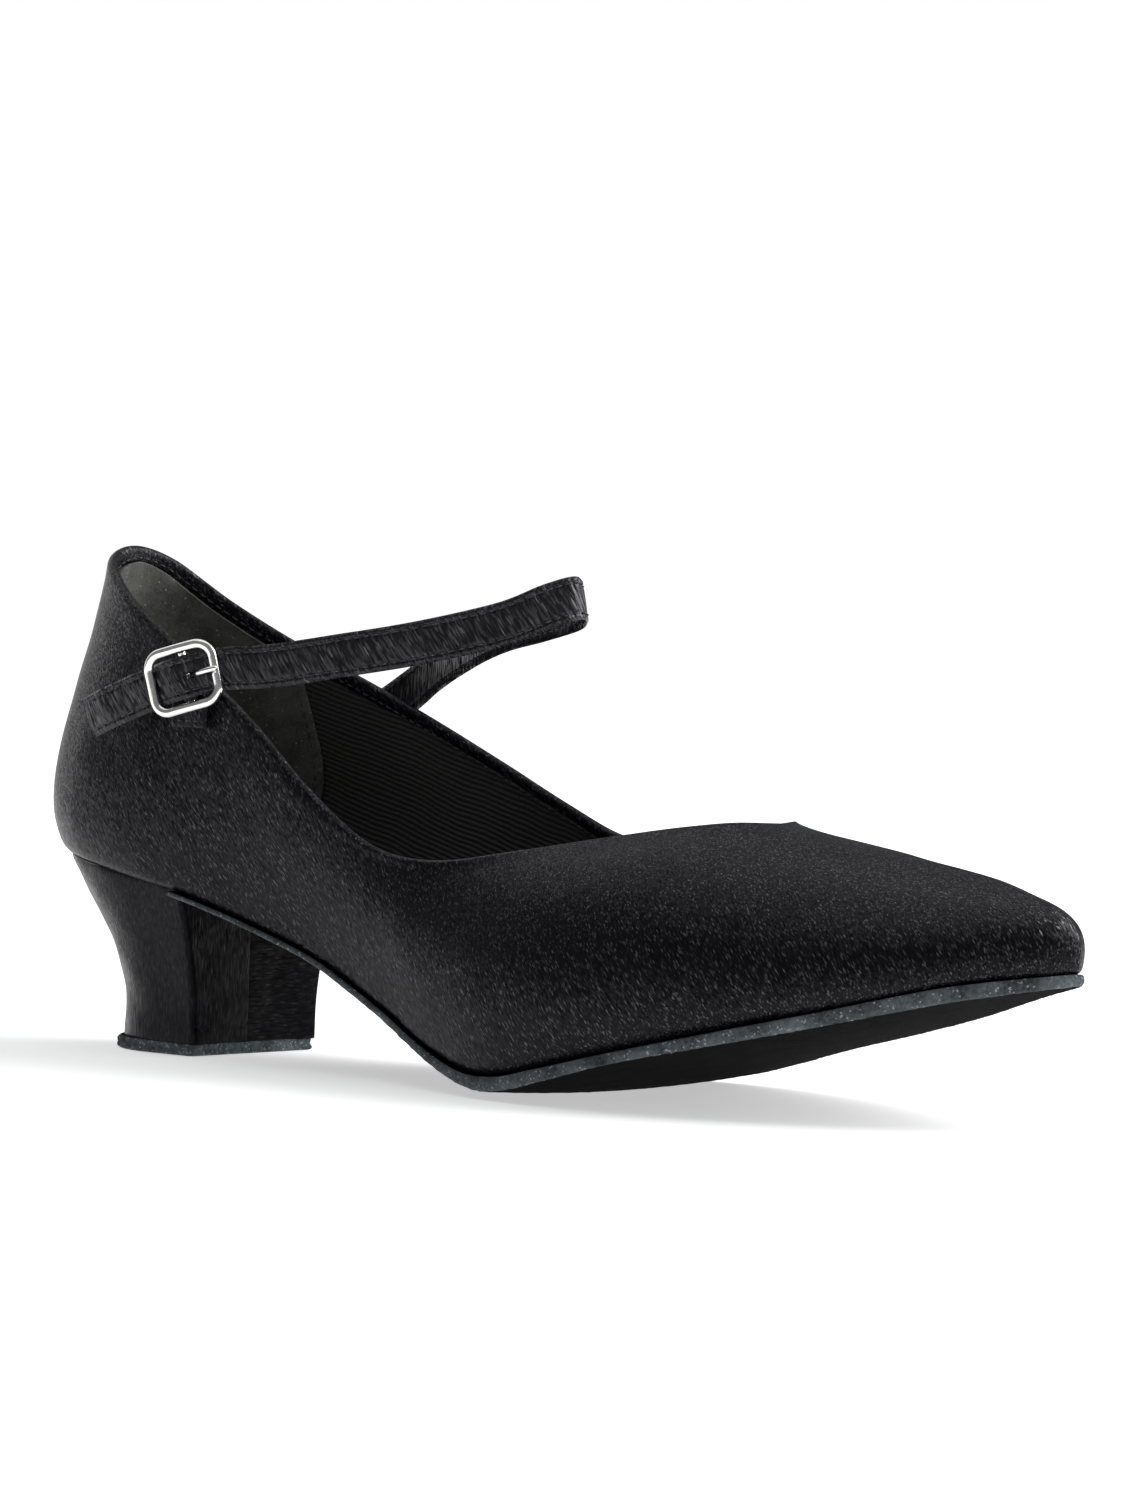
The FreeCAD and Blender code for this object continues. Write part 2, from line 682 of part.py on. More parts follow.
# What the block must leave room for: the seat above it, the screw, nails and lift pins.
LIFT_PINS = [(-6, 0), (8, 9), (8, -9)]
PIN_RADIUS, PIN_HEAD_RADIUS, PIN_HEAD_BOTTOM, PIN_TOP = 0.9, 2.0, 0.7, 10.0


def lift_pins(extra):
    """Short pins that hold the heel tip: the head sits in the tip, the point in the block."""
    pins = []
    for x, y in LIFT_PINS:
        shaft = upright_peg(PIN_RADIUS + extra, x, y, PIN_HEAD_BOTTOM - extra, PIN_TOP + extra)
        head = upright_peg(PIN_HEAD_RADIUS + extra, x, y, PIN_HEAD_BOTTOM - extra,
                           PIN_HEAD_BOTTOM + 0.8 + extra)
        pins.append(shaft.fuse(head))
    return pins


seat_space = doc.addObject("Part::Feature", "seat_space")
seat_space.Shape = slab(above_feather(0), lambda x, y: CLEAR_OF_HEEL)
pin_holes = lift_pins(HOLE_GAP)
fixing_space = doc.addObject("Part::Feature", "fixing_space")
fixing_space.Shape = Part.Compound(pin_holes + hole_nails + [hole_screw])
block_top = cut_of("heel_block_top", block_form, seat_space)
heel_block = cut_of("heel_block", block_top, fixing_space)

shell = cut_of("heel_shell", outer_form, inner_form)
shell_top = cut_of("heel_shell_top", shell, seat_space)
medial_breast = doc.addObject("Part::Box", "medial_breast_space")
medial_breast.Length, medial_breast.Width, medial_breast.Height = 10, 40, 60
medial_breast.setExpression("Placement.Base.x", "Dimensions.breast_place")
medial_breast.Placement.Base.y = BREAST_SEAM_Y
heel_cover = cut_of("heel_cover", shell_top, medial_breast)
breast_strip = doc.addObject("Part::Box", "breast_strip")
breast_strip.Length, breast_strip.Width, breast_strip.Height = 10, 40, 60
breast_strip.setExpression("Placement.Base.x", "Dimensions.breast_place + 0.03")
breast_strip.Placement.Base.y = BREAST_SEAM_Y + 0.1
breast_cover = doc.addObject("Part::Common", "heel_breast_cover")
breast_cover.Base = shell_top
breast_cover.Tool = breast_strip
breast_cover.Label = "heel_breast_cover"

# Heel tip: a suede-faced lift, a little larger than the block all round.
lift_body = doc.addObject("PartDesign::Body", "lift_form")
lift_sketch = level_sketch(lift_body, "lift_outline", 0)
LIFT_MIDDLE = 2.6
draw_heel_outline(lift_sketch, size("lift_radius"), LIFT_MIDDLE, size("breast_place") + 0.5,
                  "Dimensions.lift_radius", "Dimensions.breast_place + 0.5")
lift_pad = lift_body.newObject("PartDesign::Pad", "lift_pad")
lift_pad.Profile = lift_sketch
lift_pad.setExpression("Length", "Dimensions.lift_thickness")
pin_space = doc.addObject("Part::Feature", "pin_space")
pin_space.Shape = Part.Compound(pin_holes)
heel_tip = cut_of("heel_tip", lift_body, pin_space)
add_feature("heel_tip_pins", Part.Compound(lift_pins(0)))


# ---------------------------------------------------------------- strap and buckle
# The buckle's own frame: u along the strap towards the toe, w across the strap, n outwards.
BUCKLE_CENTRE = Vector(22.3, -32.9, 73.4)
STRAP_U = Vector(15, 4.1, 4.6).normalize()
STRAP_W = (Vector(-0.1, 0, 1) - STRAP_U * STRAP_U.dot(Vector(-0.1, 0, 1))).normalize()
STRAP_N = STRAP_U.cross(STRAP_W)
BAR_DEPTH = 2.0                  # the centre bar lies this far behind the frame's plane
RIM_PLACE = size("buckle_length") / 2 - size("buckle_wire") / 2
STRAP_UNDER_RIM, STRAP_OVER_BAR = -2.1, 0.6


def buckle_point(u, w, n):
    return BUCKLE_CENTRE + STRAP_U * u + STRAP_W * w + STRAP_N * n


# Middle of the strap, from the tail over the buckle and the instep to the medial anchor.
STRAP_PATH = [
    Vector(-2.6, -31.65, 64.8), Vector(4, -32.9, 67.2),
    buckle_point(-RIM_PLACE - 0.4, 0, STRAP_UNDER_RIM), buckle_point(0, 0, STRAP_OVER_BAR),
    buckle_point(RIM_PLACE + 0.4, 0, STRAP_UNDER_RIM),
    Vector(38, -25.3, 76.4), Vector(52, -21.2, 78.9), Vector(66, -14.8, 81.9),
    Vector(80, -7.6, 86), Vector(87.5, -2.8, 89.8), Vector(90.3, 1.9, 91.3),
    Vector(86.5, 6.2, 89.4), Vector(75, 9.6, 86.8), Vector(63, 14, 84.7),
    Vector(51.5, 19, 81.8), Vector(35.5, 27.3, 76.8), Vector(26.5, 30.2, 72.2),
    Vector(18, 30.2, 66.8), Vector(13.5, 30.2, 62.8)]
STRAP_UP = Vector(-0.25, 0, 1)   # the strap's width leans back a little all along


def strap_frame(at):
    """Point, width direction and outward direction of the strap at a path parameter."""
    rows = [(i, p.x, p.y, p.z) for i, p in enumerate(STRAP_PATH)]
    step = 0.02
    here = Vector(*smooth(rows, at))
    along = Vector(*smooth(rows, at + step)) - Vector(*smooth(rows, at - step))
    along.normalize()
    across = (STRAP_UP - along * STRAP_UP.dot(along)).normalize()
    return here, across, along.cross(across)


def strap_layer(inner, outer):
    """One layer of the strap, between two offsets along its outward direction."""
    half = size("strap_width") / 2

    def grid(offset):
        rows = []
        for at in spread(0, len(STRAP_PATH) - 1, 73):
            here, across, outward = strap_frame(at)
            rows.append([here + across * w + outward * offset for w in spread(-half, half, 4)])
        return rows

    return patch_solid(grid(outer), grid(inner))


STRAP_HALF = (size("strap_thickness") + size("backing_thickness")) / 2
STRAP_JOIN = STRAP_HALF - size("strap_thickness")
buckle_place = Placement(FreeCAD.Matrix(
    STRAP_U.x, STRAP_W.x, STRAP_N.x, BUCKLE_CENTRE.x,
    STRAP_U.y, STRAP_W.y, STRAP_N.y, BUCKLE_CENTRE.y,
    STRAP_U.z, STRAP_W.z, STRAP_N.z, BUCKLE_CENTRE.z, 0, 0, 0, 1))

# The punched hole that the prong uses, a little long so that the prong can turn out of it.
HOLE_REAR, HOLE_FRONT, HOLE_HALF = -1.3, 6.0, 0.95


def prong_hole():
    hole = Part.makeBox(HOLE_FRONT - HOLE_REAR, 2 * HOLE_HALF, 8,
                        Vector(HOLE_REAR, -HOLE_HALF, -4))
    hole.Placement = buckle_place
    return hole


add_feature("strap_satin", strap_layer(STRAP_JOIN + 0.03, STRAP_HALF).cut(prong_hole()))
add_feature("strap_backing", strap_layer(-STRAP_HALF, STRAP_JOIN - 0.03).cut(prong_hole()))

# Buckle frame: a rounded rectangle of wire, with a centre bar carried behind its plane.
buckle_body = doc.addObject("PartDesign::Body", "buckle_ring")
ring_sketch = level_sketch(buckle_body, "ring_outline", 0)
ring_sketch.setExpression("AttachmentOffset.Base.z", "-Dimensions.buckle_wire / 2")


def draw_rounded_rectangle(sketch, length, height, radius, inset_cell):
    """Rounded rectangle about the origin, bound to the buckle's cells of the sheet."""
    first = sketch.GeometryCount
    x, y = length / 2, height / 2
    inner_x, inner_y = x - radius, y - radius
    corners = [(inner_x, inner_y, 0), (-inner_x, inner_y, 90), (-inner_x, -inner_y, 180),
               (inner_x, -inner_y, 270)]
    sides = [((inner_x, y), (-inner_x, y)), ((-x, inner_y), (-x, -inner_y)),
             ((-inner_x, -y), (inner_x, -y)), ((x, -inner_y), (x, inner_y))]
    for (cx, cy, angle), (start, end) in zip(corners, sides):
        circle = Part.Circle(Vector(cx, cy, 0), Vector(0, 0, 1), radius)
        sketch.addGeometry(Part.ArcOfCircle(circle, math.radians(angle),
                                            math.radians(angle + 90)), False)
        sketch.addGeometry(Part.LineSegment(Vector(*start, 0), Vector(*end, 0)), False)
    for i in range(0, 8, 2):
        after, before = first + (i + 1) % 8, first + (i - 1) % 8
        sketch.addConstraint(Sketcher.Constraint("Tangent", first + i, 2, after, 1))
        sketch.addConstraint(Sketcher.Constraint("Tangent", before, 2, first + i, 1))
    sketch.addConstraint(Sketcher.Constraint("Horizontal", first + 1))
    sketch.addConstraint(Sketcher.Constraint("Vertical", first + 3))
    sketch.addConstraint(Sketcher.Constraint("Symmetric", first + 4, 3, first, 3, -1, 1))
    bound = [
        ("DistanceX", (first + 4, 3, first, 3), 2 * inner_x,
         "Dimensions.buckle_length - 2 * Dimensions.buckle_corner"),
        ("DistanceY", (first + 4, 3, first, 3), 2 * inner_y,
         "Dimensions.buckle_height - 2 * Dimensions.buckle_corner"),
        ("Radius", (first,), radius, f"Dimensions.buckle_corner - {inset_cell}"),
    ]
    for kind, where, value, cell in bound:
        at = sketch.addConstraint(Sketcher.Constraint(kind, *where, value))
        sketch.setExpression(f"Constraints[{at}]", cell)
    sketch.addConstraint(Sketcher.Constraint("Equal", first, first + 4))


wire = size("buckle_wire")
for inset, cell in ((0.0, "0"), (wire, "Dimensions.buckle_wire")):
    draw_rounded_rectangle(ring_sketch, size("buckle_length") - 2 * inset,
                           size("buckle_height") - 2 * inset, size("buckle_corner") - inset, cell)
ring_pad = buckle_body.newObject("PartDesign::Pad", "ring_pad")
ring_pad.Profile = ring_sketch
ring_pad.setExpression("Length", "Dimensions.buckle_wire")
doc.recompute()
ring_round = buckle_body.newObject("PartDesign::Fillet", "ring_round")
ring_round.Base = (ring_pad, [f"Edge{i + 1}" for i in range(len(ring_pad.Shape.Edges))])
ring_round.setExpression("Radius", "Dimensions.buckle_wire * 0.38")
buckle_body.Tip = ring_round


def cylinder(name, radius_cell, length_cell, base, direction):
    """Part::Cylinder whose radius and length follow the sheet."""
    peg = doc.addObject("Part::Cylinder", name)
    peg.setExpression("Radius", radius_cell)
    peg.setExpression("Height", length_cell)
    peg.Placement = Placement(base, Rotation(Vector(0, 0, 1), direction))
    return peg


def fused(label, parts, place=None):
    fuse = doc.addObject("Part::MultiFuse", label)
    fuse.Shapes = parts
    fuse.Label = label
    if place:
        fuse.Placement = place
    return fuse


RAIL_MIDDLE = (size("buckle_height") - wire) / 2
bar = cylinder("centre_bar", "Dimensions.bar_radius",
               "Dimensions.buckle_height - Dimensions.buckle_wire",
               Vector(0, -RAIL_MIDDLE, -BAR_DEPTH), Vector(0, 1, 0))
posts = [cylinder(f"bar_post_{name}", "Dimensions.bar_radius", f"{BAR_DEPTH + 0.3}",
                  Vector(0, side * RAIL_MIDDLE, -BAR_DEPTH), Vector(0, 0, 1))
         for name, side in (("top", 1), ("bottom", -1))]
buckle_frame = fused("buckle_frame", [buckle_body, bar] + posts, buckle_place)

# Prong: an eye round the bar and a bent pin whose tip lies on the front rim.
EYE_WALL, EYE_WIDTH = 0.5, 1.6
PRONG_BEND = Vector(5.2, 0, 1.55)
PRONG_TIP = Vector(7.5, 0, 1.5)
bar_centre = Vector(0, 0, -BAR_DEPTH)
eye = cylinder("prong_eye", f"Dimensions.bar_radius + Dimensions.pin_running_gap + {EYE_WALL}",
               f"{EYE_WIDTH}", bar_centre - Vector(0, EYE_WIDTH / 2, 0), Vector(0, 1, 0))
eye_hole = cylinder("prong_eye_hole", "Dimensions.bar_radius + Dimensions.pin_running_gap",
                    "4", bar_centre - Vector(0, 2, 0), Vector(0, 1, 0))
rise = (PRONG_BEND - bar_centre).normalize()
root = bar_centre + rise * (size("bar_radius") + 0.3)
pin_low = cylinder("prong_low", "Dimensions.prong_radius", f"{(PRONG_BEND - root).Length}",
                   root, rise)
pin_high = cylinder("prong_high", "Dimensions.prong_radius",
                    f"{(PRONG_TIP - PRONG_BEND).Length}", PRONG_BEND, PRONG_TIP - PRONG_BEND)
knee = doc.addObject("Part::Sphere", "prong_knee")
knee.setExpression("Radius", "Dimensions.prong_radius")
knee.Placement.Base = PRONG_BEND
nose = doc.addObject("Part::Sphere", "prong_nose")
nose.setExpression("Radius", "Dimensions.prong_radius")
nose.Placement.Base = PRONG_TIP
prong_solid = fused("prong_solid", [eye, pin_low, knee, pin_high, nose])
buckle_prong = cut_of("buckle_prong", prong_solid, eye_hole)
buckle_prong.Placement = buckle_place

# Tab that ties the buckle's bar to the lateral quarter: a sewn base and two loops.
TAB_REAR, TAB_LENGTH, TAB_BOTTOM, TAB_HEIGHT = 16.0, 9.5, 61.5, 13.0
TAB_FACE, TAB_THICKNESS = -28.55, 1.1     # inner face of the base, clear of the quarter
LOOP_WALL, LOOP_START, LOOP_END = 0.55, 1.2, 4.2
tab_base = doc.addObject("Part::Box", "tab_base")
tab_base.Length, tab_base.Width, tab_base.Height = TAB_LENGTH, TAB_THICKNESS, TAB_HEIGHT
tab_base.Placement.Base = Vector(TAB_REAR, TAB_FACE - TAB_THICKNESS, TAB_BOTTOM)
loops, loop_holes = [], []
for name, start, direction in (("top", LOOP_START, 1), ("bottom", -LOOP_START, -1)):
    foot = buckle_point(0, start, -BAR_DEPTH)
    loops.append(cylinder(f"tab_loop_{name}",
                          f"Dimensions.bar_radius + 0.1 + {LOOP_WALL}",
                          f"{LOOP_END - LOOP_START}", foot, STRAP_W * direction))
bar_space = cylinder("tab_bar_space", "Dimensions.bar_radius + 0.1",
                     "Dimensions.buckle_height", buckle_point(0, -7, -BAR_DEPTH), STRAP_W)
eye_space = cylinder("tab_eye_space", f"Dimensions.bar_radius + {EYE_WALL} + 0.4", "2.4",
                     buckle_point(0, -1.2, -BAR_DEPTH), STRAP_W)
tab_solid = fused("tab_solid", [tab_base] + loops)
tab_space = fused("tab_space", [bar_space, eye_space])
buckle_tab = cut_of("buckle_tab", tab_solid, tab_space)


def stitch(start, along):
    """One thread stitch: a short round bar that lies on the surface."""
    length = size("stitch_length")
    return Part.makeCylinder(size("stitch_radius"), length, start - along * (length / 2), along)


def anchor_stitches():
    """Two short rows that hold the strap's end to the medial quarter."""
    stitches = []
    for at in (16.75, 17.25, 17.75):
        here, across, outward = strap_frame(at)
        along = across.cross(outward)
        for w in (-2.8, 2.8):
            lift = STRAP_HALF + size("stitch_radius") + 0.02
            stitches.append(stitch(here + across * w + outward * lift, along))
    return stitches


def tab_stitches():
    """A row of stitches along the bottom of the tab."""
    face = TAB_FACE - TAB_THICKNESS - size("stitch_radius") - 0.02
    return [stitch(Vector(TAB_REAR + 1.8 + i * 2.95, face, TAB_BOTTOM + 1.2), Vector(1, 0, 0))
            for i in range(3)]


add_feature("strap_anchor_stitches", Part.Compound(anchor_stitches()))
add_feature("buckle_tab_stitches", Part.Compound(tab_stitches()))
doc.recompute()

# ---------------------------------------------------------------- check and write
SUBPARTS = [
    "upper_satin", "heel_counter", "lateral_interlining", "medial_interlining", "toe_puff",
    "upper_lining", "heel_grip", "topline_facing", "outsole", "insole_board", "shank",
    "bottom_filler", "insole_foam", "sock_lining", "seat_nails", "heel_screw",
    "shank_rivets", "heel_block", "heel_cover", "heel_breast_cover", "heel_tip",
    "heel_tip_pins", "strap_satin", "strap_backing", "buckle_frame", "buckle_prong",
    "buckle_tab", "strap_anchor_stitches", "buckle_tab_stitches"]

for obj in doc.Objects:
    if "Invalid" in obj.State or "Error" in obj.State:
        raise RuntimeError(f"{obj.Label} failed to compute")
pieces = {obj.Label: obj for obj in doc.Objects}
for label in SUBPARTS:
    shape = pieces[label].Shape
    if shape.isNull() or not shape.isValid() or not shape.Solids:
        raise RuntimeError(f"{label} has no valid solid")

os.makedirs("parts", exist_ok=True)
for label in SUBPARTS:
    pieces[label].Shape.exportStep(f"parts/{label}.step")
    print(label, round(pieces[label].Shape.Volume, 1))
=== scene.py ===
import math

import bmesh
import bpy
import numpy as np
from mathutils import Matrix, Vector


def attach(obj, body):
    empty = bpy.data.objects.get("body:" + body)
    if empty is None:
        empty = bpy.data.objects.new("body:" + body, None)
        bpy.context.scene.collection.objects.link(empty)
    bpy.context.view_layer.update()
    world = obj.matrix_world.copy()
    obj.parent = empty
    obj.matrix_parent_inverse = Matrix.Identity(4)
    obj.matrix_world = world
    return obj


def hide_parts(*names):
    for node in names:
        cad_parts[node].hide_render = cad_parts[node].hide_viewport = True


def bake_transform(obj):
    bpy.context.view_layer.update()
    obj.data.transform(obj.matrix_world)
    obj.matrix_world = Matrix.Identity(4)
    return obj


# A black satin ballroom court shoe with an instep strap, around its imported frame.
# Shapes are worked out in millimetres in the row frame and scaled by MM as they become meshes.
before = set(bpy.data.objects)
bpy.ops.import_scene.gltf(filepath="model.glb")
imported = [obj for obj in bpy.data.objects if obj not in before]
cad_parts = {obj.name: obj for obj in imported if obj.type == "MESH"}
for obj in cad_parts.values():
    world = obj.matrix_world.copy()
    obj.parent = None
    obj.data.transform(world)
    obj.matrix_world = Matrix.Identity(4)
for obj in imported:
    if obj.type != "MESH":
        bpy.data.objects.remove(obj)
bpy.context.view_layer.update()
MM = 0.001
UP = np.array([0.0, 0.0, 1.0])

# ---------------------------------------------------------------- the last
# Stations s run from -1 at the toe along the lateral side to 0 at the back seam, and on to 1
# at the toe along the medial side. Rises v run from 0 on the feather line to 1 on the top edge.
THROAT = 0.86
FEATHER_HEIGHT = [
    (-40, 39.4), (-29, 38.4), (-12, 36.6), (4, 34.2), (17, 31.9), (35, 27.2), (53, 21.4),
    (62, 17.6), (71, 13.8), (80, 9.9), (89, 6.6), (98, 4.4), (107, 4.4), (117, 6.6),
    (131, 10.2), (151, 15.3), (169, 20.0), (189, 25.6), (207, 28.9)]
LATERAL_FEATHER = [
    (0.07, -26.2, -12.5), (0.14, -16.2, -20.8), (0.22, -2, -25.5), (0.30, 16, -27),
    (0.38, 36, -26.3), (0.46, 55, -26.5), (0.53, 72, -29.3), (0.60, 88, -34),
    (0.67, 106, -38.8), (0.74, 124, -39.5), (0.79, 138, -37.5), (0.83, 148, -34.8),
    (0.86, 156, -31.8), (0.90, 167, -26.8), (0.94, 180, -19.2), (0.97, 193, -10)]
MEDIAL_FEATHER = [
    (0.07, -26.2, 12.5), (0.14, -16.2, 20.5), (0.22, -2, 24.5), (0.30, 16, 25),
    (0.38, 36, 23.5), (0.46, 55, 23.5), (0.53, 72, 26.5), (0.60, 88, 31.5),
    (0.67, 106, 35.8), (0.74, 124, 37), (0.79, 138, 36), (0.83, 148, 34),
    (0.86, 156, 31.7), (0.90, 167, 28), (0.94, 180, 22.3), (0.97, 193, 15.5)]
HEEL_POINT = (0.0, -30.2, 0.0)
TOE_POINT = (1.0, 204, 4.5)
BACK_TOP = (0.0, -22.3, 0.0, 98.6)
THROAT_TOP = (0.86, 140, 0.5, 51.9)
LATERAL_TOP = [
    (0.07, -19.4, -10, 96.3), (0.14, -9, -17.5, 90.3), (0.22, 5.5, -22.8, 83.2),
    (0.30, 21, -26.2, 74.9), (0.38, 37, -28.3, 64.9), (0.46, 53.5, -30, 52.8),
    (0.53, 69, -31, 44.4), (0.60, 84, -30.5, 42.6), (0.67, 101, -27, 45.3),
    (0.74, 119, -20.5, 48.8), (0.79, 130.5, -14, 51), (0.83, 137.5, -7.5, 52)]
MEDIAL_TOP = [
    (0.07, -19.4, 9.8, 95.8), (0.14, -10.5, 17.5, 88), (0.22, 2.5, 24, 80),
    (0.30, 18, 27.5, 73.2), (0.38, 34, 29.5, 66.2), (0.46, 51, 30.5, 58.6),
    (0.53, 67, 30.5, 51.6), (0.60, 83, 29, 46.2), (0.67, 101, 25, 46),
    (0.74, 118, 19.5, 49), (0.79, 130, 14, 51), (0.83, 137, 8, 52)]
RIDGE = [
    (0.86, 140, 0.5, 51.9), (0.90, 154, 4, 49.3), (0.94, 169, 5.4, 46.8),
    (0.97, 182, 5.8, 44.6), (1.00, 194.5, 5.2, 41.2)]
FULLNESS = [
    (0.00, 9.0, 0.22, 3.8, 29), (0.10, 7.1, 0.25, 4.0, 24), (0.22, 3.5, 0.30, 2.5, 18.5),
    (0.40, 3.0, 0.35, 2.0, 13), (0.53, 3.5, 0.40, 2.0, 9.5), (0.62, 4.5, 0.45, 6.0, 8.5),
    (0.72, 5.0, 0.50, 12.0, 6.0), (0.80, 5.0, 0.55, 16.0, 3.3), (0.86, 4.5, 0.58, 18.0, 1.3),
    (0.93, 3.5, 0.60, 13.0, 1.6), (1.00, 1.8, 0.60, 7.5, 2.4)]


def mirrored(rows):
    """The same rows at negative stations, in rising order."""
    return [(-row[0],) + tuple(row[1:]) for row in reversed(rows)]


def closed_feather():
    """The feather line as one closed curve: a few rows repeat past the toe at each end."""
    toe = [TOE_POINT]
    ring = mirrored(LATERAL_FEATHER + toe) + [HEEL_POINT] + MEDIAL_FEATHER + toe
    before = [(s - 2, x, y) for s, x, y in ring[-4:-1]]
    after = [(s + 2, x, y) for s, x, y in ring[1:4]]
    return before + ring + after


FEATHER = closed_feather()
TOPLINE = mirrored(LATERAL_TOP + [THROAT_TOP]) + [BACK_TOP] + MEDIAL_TOP + [THROAT_TOP]


def smooth(knots, at):
    """A smooth curve through the knots, whose first column is the parameter, at many places."""
    rows = np.array(knots, float)
    place, value = rows[:, 0], rows[:, 1:]
    gap = np.diff(place)[:, None]
    secant = np.diff(value, axis=0) / gap
    inside = (secant[:-1] * gap[1:] + secant[1:] * gap[:-1]) / (gap[:-1] + gap[1:])
    slope = np.vstack([secant[:1], inside, secant[-1:]])
    at = np.clip(np.asarray(at, float), place[0], place[-1])
    i = np.clip(np.searchsorted(place, at, side="right") - 1, 0, len(place) - 2)
    w = ((at - place[i]) / (place[i + 1] - place[i]))[..., None]
    return ((2 * w**3 - 3 * w**2 + 1) * value[i] + (w**3 - 2 * w**2 + w) * gap[i] * slope[i]
            + (3 * w**2 - 2 * w**3) * value[i + 1] + (w**3 - w**2) * gap[i] * slope[i + 1])


def unit(vectors):
    return vectors / np.linalg.norm(vectors, axis=-1, keepdims=True)


def feather_height(x):
    return smooth(FEATHER_HEIGHT, x)[..., 0]


def feather_plan(s):
    return smooth(FEATHER, s)


def feather_outward(s):
    """Unit vectors in plan, square to the feather line and away from the foot."""
    step = 0.001
    along = feather_plan(s + step) - feather_plan(s - step)
    return unit(np.column_stack([-along[:, 1], along[:, 0], np.zeros(len(along))]))


def rib(s):
    """The four control points of the upper's rib at each station, from the feather line up."""
    plan = feather_plan(s)
    foot = np.column_stack([plan, feather_height(plan[:, 0])])
    on_topline = (np.abs(s) <= THROAT)[:, None]
    head = np.where(on_topline, smooth(TOPLINE, s), smooth(RIDGE, np.abs(s)))
    low, share, high, drop = smooth(FULLNESS, np.abs(s)).T[..., None]
    outward = feather_outward(s)
    belly = foot + outward * low + UP * (share * (head[:, 2:] - foot[:, 2:]))
    brow = head + outward * high - UP * drop
    return np.stack([foot, belly, brow, head], axis=1)


def along_rib(ribs, v):
    """Points of the ribs at rises v, which is one row for all of them or a row for each."""
    v = np.broadcast_to(v, (len(ribs), np.shape(v)[-1]))[..., None]
    weights = ((1 - v)**3, 3 * (1 - v)**2 * v, 3 * (1 - v) * v**2, v**3)
    return sum(weight * ribs[:, i, None, :] for i, weight in enumerate(weights))


def skin_normal(s, v):
    """Outward unit normals of the upper's outer face; the two halves share the ridge's."""
    def one_side(at):
        step = 0.002
        along = along_rib(rib(at + step), v) - along_rib(rib(at - step), v)
        here = rib(at)
        up = (along_rib(here, np.minimum(np.add(v, step), 1))
              - along_rib(here, np.maximum(np.subtract(v, step), 0)))
        return unit(np.cross(up, along))

    normal = one_side(s)
    rise = np.broadcast_to(v, normal.shape[:2])
    reach = np.abs(s)[:, None]
    shared = ((reach >= THROAT) & (rise > 0.999)) | (reach > 0.999)
    return np.where(shared[..., None], unit(normal + one_side(-s)), normal)


def skin(s, v, depth=0.0):
    """Points at a depth inside the upper's outer face."""
    return along_rib(rib(s), v) - depth * skin_normal(s, v)


def edge_frame(s):
    """Topline points, with the directions out of the opening's edge and out of the shoe."""
    step = 0.004

    def one_side(at):
        at = np.clip(at, step - THROAT, THROAT - step)
        tangent = smooth(TOPLINE, at + step) - smooth(TOPLINE, at - step)
        normal = skin_normal(at, [1.0])[:, 0]
        return unit(np.cross(tangent, normal)), normal

    (over, normal), (far_over, far_normal) = one_side(s), one_side(-s)
    share = 0.5 * np.clip((np.abs(s) - THROAT + 0.03) / 0.03, 0, 1)[:, None]
    over = unit(over * (1 - share) + far_over * share)
    normal = unit(normal * (1 - share) + far_normal * share)
    return smooth(TOPLINE, s), over, normal


def edge_rows(s, places):
    """Rows of points near the topline: (distance below the edge, depth inside the skin)."""
    head, over, normal = edge_frame(s)
    return np.stack([head - over * below - normal * depth for below, depth in places], axis=1)


# ---------------------------------------------------------------- mesh helpers
def ripple(points, wavelength, amplitude, seed, waves=9):
    """A smooth irregular field over points: a sum of plane waves of one length."""
    draw = np.random.RandomState(seed)
    directions = unit(draw.normal(size=(waves, 3)))
    lengths = wavelength * draw.uniform(0.7, 1.5, waves)
    phases = draw.uniform(0, 2 * math.pi, waves)
    turns = points @ directions.T * (2 * math.pi / lengths) + phases
    return amplitude * np.sin(turns).sum(axis=-1) / math.sqrt(waves / 2)


